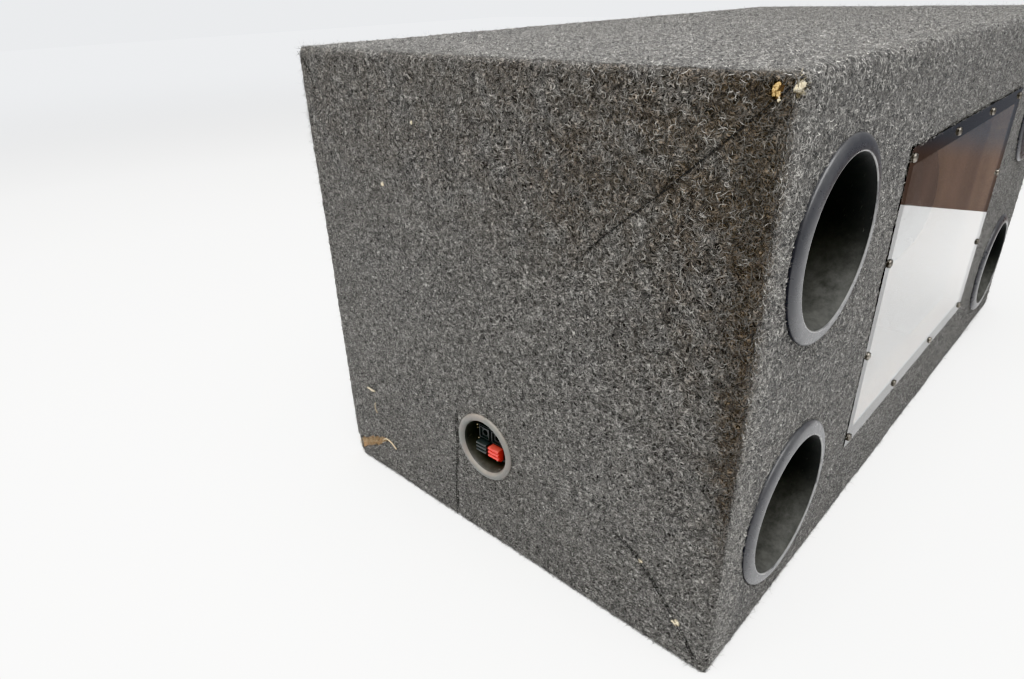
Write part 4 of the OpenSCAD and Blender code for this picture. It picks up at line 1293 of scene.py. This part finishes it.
def make_driver(side_name, side):
    """One driver. Its outlines are in mm from its axis and from its basket's mounting face."""
    low, high = corners(f"cone_{side_name}")
    origin = np.array((side * DRIVER_X, (low[1] + high[1]) / 2, (low[2] + high[2]) / 2))
    axes, cone_body = DRIVER_AXES[side], f"cone_assembly_{side_name}"

    def part(name, outline, slot, body="cabinet", nodes=()):
        return lathe(f"{name}_{side_name}", outline, origin, axes, slot, 160, body, nodes)

    paper = [(26.4, -42), (38, -36.2), (53.1, -27.4), (80, -14.8), (104, -4.4), (108, -3.7), (118, -3.5)]
    paper = smooth_path(paper, 6)
    part("paper", [*paper, *(paper[::-1] + np.array((0, 1.2)))], "cone_paper", cone_body, [f"cone_{side_name}"])
    turn = np.linspace(math.asin(45 / 71.3), 0, 24)
    dome = [(71.3 * math.sin(t), -30.2 + 16 - 71.3 + 71.3 * math.cos(t)) for t in turn]
    dome += [(r, z - 1) for r, z in dome[::-1]]
    part("dome", dome, "dust_cap", cone_body, [f"dust_cap_{side_name}"])
    former = [(25.5, -96), (26.1, -96), (26.1, -94), (27.2, -93.8), (27.2, -74.2), (26.1, -74)]
    former += [(26.1, -40), (25.5, -40)]
    part("former", former, "coil_copper", cone_body, [f"voice_coil_{side_name}"])
    turn = np.linspace(0, math.pi, 32)
    roll = [(126 - 10 * math.cos(t), -0.8 + 10 * math.sin(t)) for t in turn]
    under = [(126 - 8.8 * math.cos(t), -0.8 + 8.8 * math.sin(t)) for t in turn[::-1]]
    edge = [(111, -2), (111, -0.8), *roll, (142, -0.8), (142, -2), (134.8, -2), *under, (117.2, -2)]
    surround = part("roll", edge, "surround_foam", None, [f"surround_{side_name}"])
    blended(surround, (135 - radii(surround, origin)) / (135 - 117))
    waves = [(r, -53.6 + 1.6 * math.sin(RING * 5 * (r - 26.4) / 59.6)) for r in np.linspace(26.4, 86, 100)]
    cloth = [*waves, (87.5, -55.3), (98, -55.3), (98, -56), (86.5, -56)]
    cloth += [(r, z - 0.7) for r, z in waves[::-1]]
    spider = part("web", cloth, "spider_cloth", None, [f"spider_{side_name}"])
    blended(spider, (84 - radii(spider, origin)) / (84 - 30))
    ferrite = rounded([(32, -88, 1), (78, -88, 1.6), (78, -108, 1.6), (32, -108, 1)])
    part("ferrite", ferrite, "ferrite", nodes=[f"magnet_{side_name}"])
    plate = rounded([(28, -80, 0.4), (72, -80, 0.8), (72, -88, 0.8), (28, -88, 0.4)])
    part("plate", plate, "plate_steel", nodes=["top_plates"])
    yoke = [(8, -80, 1), (24.8, -80, 0.8), (24.8, -108, 0), (72, -108, 0.5), (72, -113, 1.2)]
    yoke += [(66, -116, 1.2), (8, -116, 1.5)]
    part("yoke", rounded(yoke), "plate_steel", nodes=["yokes"])
    softened(f"basket_{side_name}", 0.5)
    strip = [((88.4, -13, -75), (90.4, 13, -60)), ((84, -4, -72), (88.6, 4, -64))]
    tabs = [((90.4, y - 3.15, -88), (91.2, y + 3.15, -64)) for y in (-8, 8)]
    for name, spans, slot, bevel in (("strip", strip, "strip_board", 0.3), ("tabs", tabs, "brass", 0.15)):
        piece = boxes(f"{name}_{side_name}", spans, origin, axes, slot, bevel)
        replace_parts(piece, "driver_terminals")
    path = [(89.4, 8, -58.95), (106, 8, -62), (119, 8, -52), (112, 7.5, -36), (90, 7, -33), (72, 6.5, -35)]
    path.append((60, 6, -25))
    for way in (-1, 1):
        line = placed(smooth_path([(x, way * y, z) for x, y, z in path]), origin, axes)
        braid = weld(new_mesh(f"braid_{side_name}_{way + 1}", *rod(line, 0.8 * MM, 8), body=None), 40)
        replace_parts(finish_piece(braid, "tinsel"), "tinsel_leads")
        gaps = np.linalg.norm(points_of(braid.data)[:, None] - line[None], axis=2)
        blended(braid, (np.argmin(gaps, axis=1) / (len(line) - 1) - 0.15) / 0.8)
    places = []
    for k in range(8):
        angle = RING * (k + 0.5) / 8
        spot = placed((148.5 * math.cos(angle), 148.5 * math.sin(angle), -4), origin, axes)
        places.append((spot, axes @ np.diag((1, -1, -1)), k * 1.3))
    shape = screw_shape(4, 2.4, 2.2, 14)
    screws(f"driver_screw_set_{side_name}", shape, places, "black_screw", ["driver_screws"])


def make_leads():
    """The internal leads, from the CAD's own route with a smoother section."""
    for node in ("leads_red", "leads_black"):
        work = node_work(node)
        limits = {"angle_face_threshold": math.radians(25), "angle_shape_threshold": math.radians(60)}
        bmesh.ops.join_triangles(work, faces=work.faces, **limits)
        bmesh.ops.subdivide_edges(work, edges=work.edges, cuts=1, smooth=1.0, use_grid_fill=True)
        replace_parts(from_work(f"{node}_finished", work, SLOTS[node], "cabinet", 60), node)


for each_node, each_width in SOFTENED.items():
    softened(each_node, each_width)
make_window()
make_ports()
make_terminals()
for each_name, each_side in SIDES.items():
    make_driver(each_name, each_side)
softened("driver_gaskets", 0.3)
make_leads()


# ---------- floor and light ----------

SEEN = (0.94, 0.953, 0.97)   # the background's colour
LIGHTING_STRENGTH = 0.66
LAMP_WATTS = 140


def make_floor():
    """A pale sweep: lit floor round the cabinet that turns smoothly into the plain background."""
    size = 9.0
    points = [(-size, -size, 0), (size, -size, 0), (size, size, 0), (-size, size, 0)]
    floor = new_mesh("floor", points, [[0, 1, 2, 3]], body=None)
    p = Paint("floor", Roughness=0.75, Specular_IOR_Level=0.25, Emission_Color=(*SEEN, 1))
    tone = p.mix(p.noise(0.6, None, 2.0), (0.83, 0.83, 0.825), (0.86, 0.86, 0.855))
    away = p.node("VectorMath", 1, {0: p.place()}, operation="LENGTH")
    fade = p.span(away, 1.2, 5.5)
    fade = p.math("MULTIPLY", fade, p.math("MULTIPLY_ADD", fade, -1.0, 2.0))
    tone = p.mix(fade, tone, (0, 0, 0))
    floor.data.materials.append(p.feed(Base_Color=tone, Emission_Strength=fade).material)


def make_room_card():
    """A warm brown card to the right of the cabinet. Only shiny surfaces see it."""
    low, high = (0.962, -0.25), (0.73, -1.0)
    points = [(*low, 0), (*high, 0), (*high, 1.4), (*low, 1.4)]
    card = new_mesh("room_card", points, [[0, 1, 2, 3]], body=None)
    plain = {"Base_Color": (0, 0, 0, 1), "Roughness": 1.0, "Specular_IOR_Level": 0.0, "Emission_Strength": 1.0}
    p = Paint("room_card", **plain)
    grain = p.noise(0.02, p.stretched(p.place(), (1, 1, 14)), 2.0)
    tone = p.mix(p.span(grain, 0.3, 0.7), (0.30, 0.225, 0.195), (0.24, 0.19, 0.17))
    height = p.node("SeparateXYZ", 2, {0: p.place()})
    tone = p.mix(p.span(height, 0.10, 0.16), tone, (0.21, 0.215, 0.235))
    card.data.materials.append(p.feed(Emission_Color=tone).material)
    card.visible_camera = card.visible_diffuse = card.visible_shadow = False


def make_light():
    """A pale room. The camera sees a plain background, while a plain world and a soft lamp light it."""
    world = bpy.data.worlds.new("world")
    bpy.context.scene.world = world
    world.use_nodes = True
    nodes, links = world.node_tree.nodes, world.node_tree.links
    seen, lighting = nodes["Background"], nodes.new("ShaderNodeBackground")
    seen.inputs["Color"].default_value = (*SEEN, 1)
    lighting.inputs["Color"].default_value = (1, 1, 1, 1)
    lighting.inputs["Strength"].default_value = LIGHTING_STRENGTH
    ray, mix = nodes.new("ShaderNodeLightPath"), nodes.new("ShaderNodeMixShader")
    links.new(ray.outputs["Is Camera Ray"], mix.inputs[0])
    links.new(lighting.outputs[0], mix.inputs[1])
    links.new(seen.outputs[0], mix.inputs[2])
    links.new(mix.outputs[0], nodes["World Output"].inputs[0])
    lamp = add_object("overhead", bpy.data.lights.new("overhead", "AREA"))
    lamp.data.size = 2.6
    lamp.data.energy = LAMP_WATTS
    lamp.location = (-0.8, -0.45, 2.4)
    bpy.context.scene.view_settings.view_transform = "Khronos PBR Neutral"


make_room_card()
make_floor()
make_light()
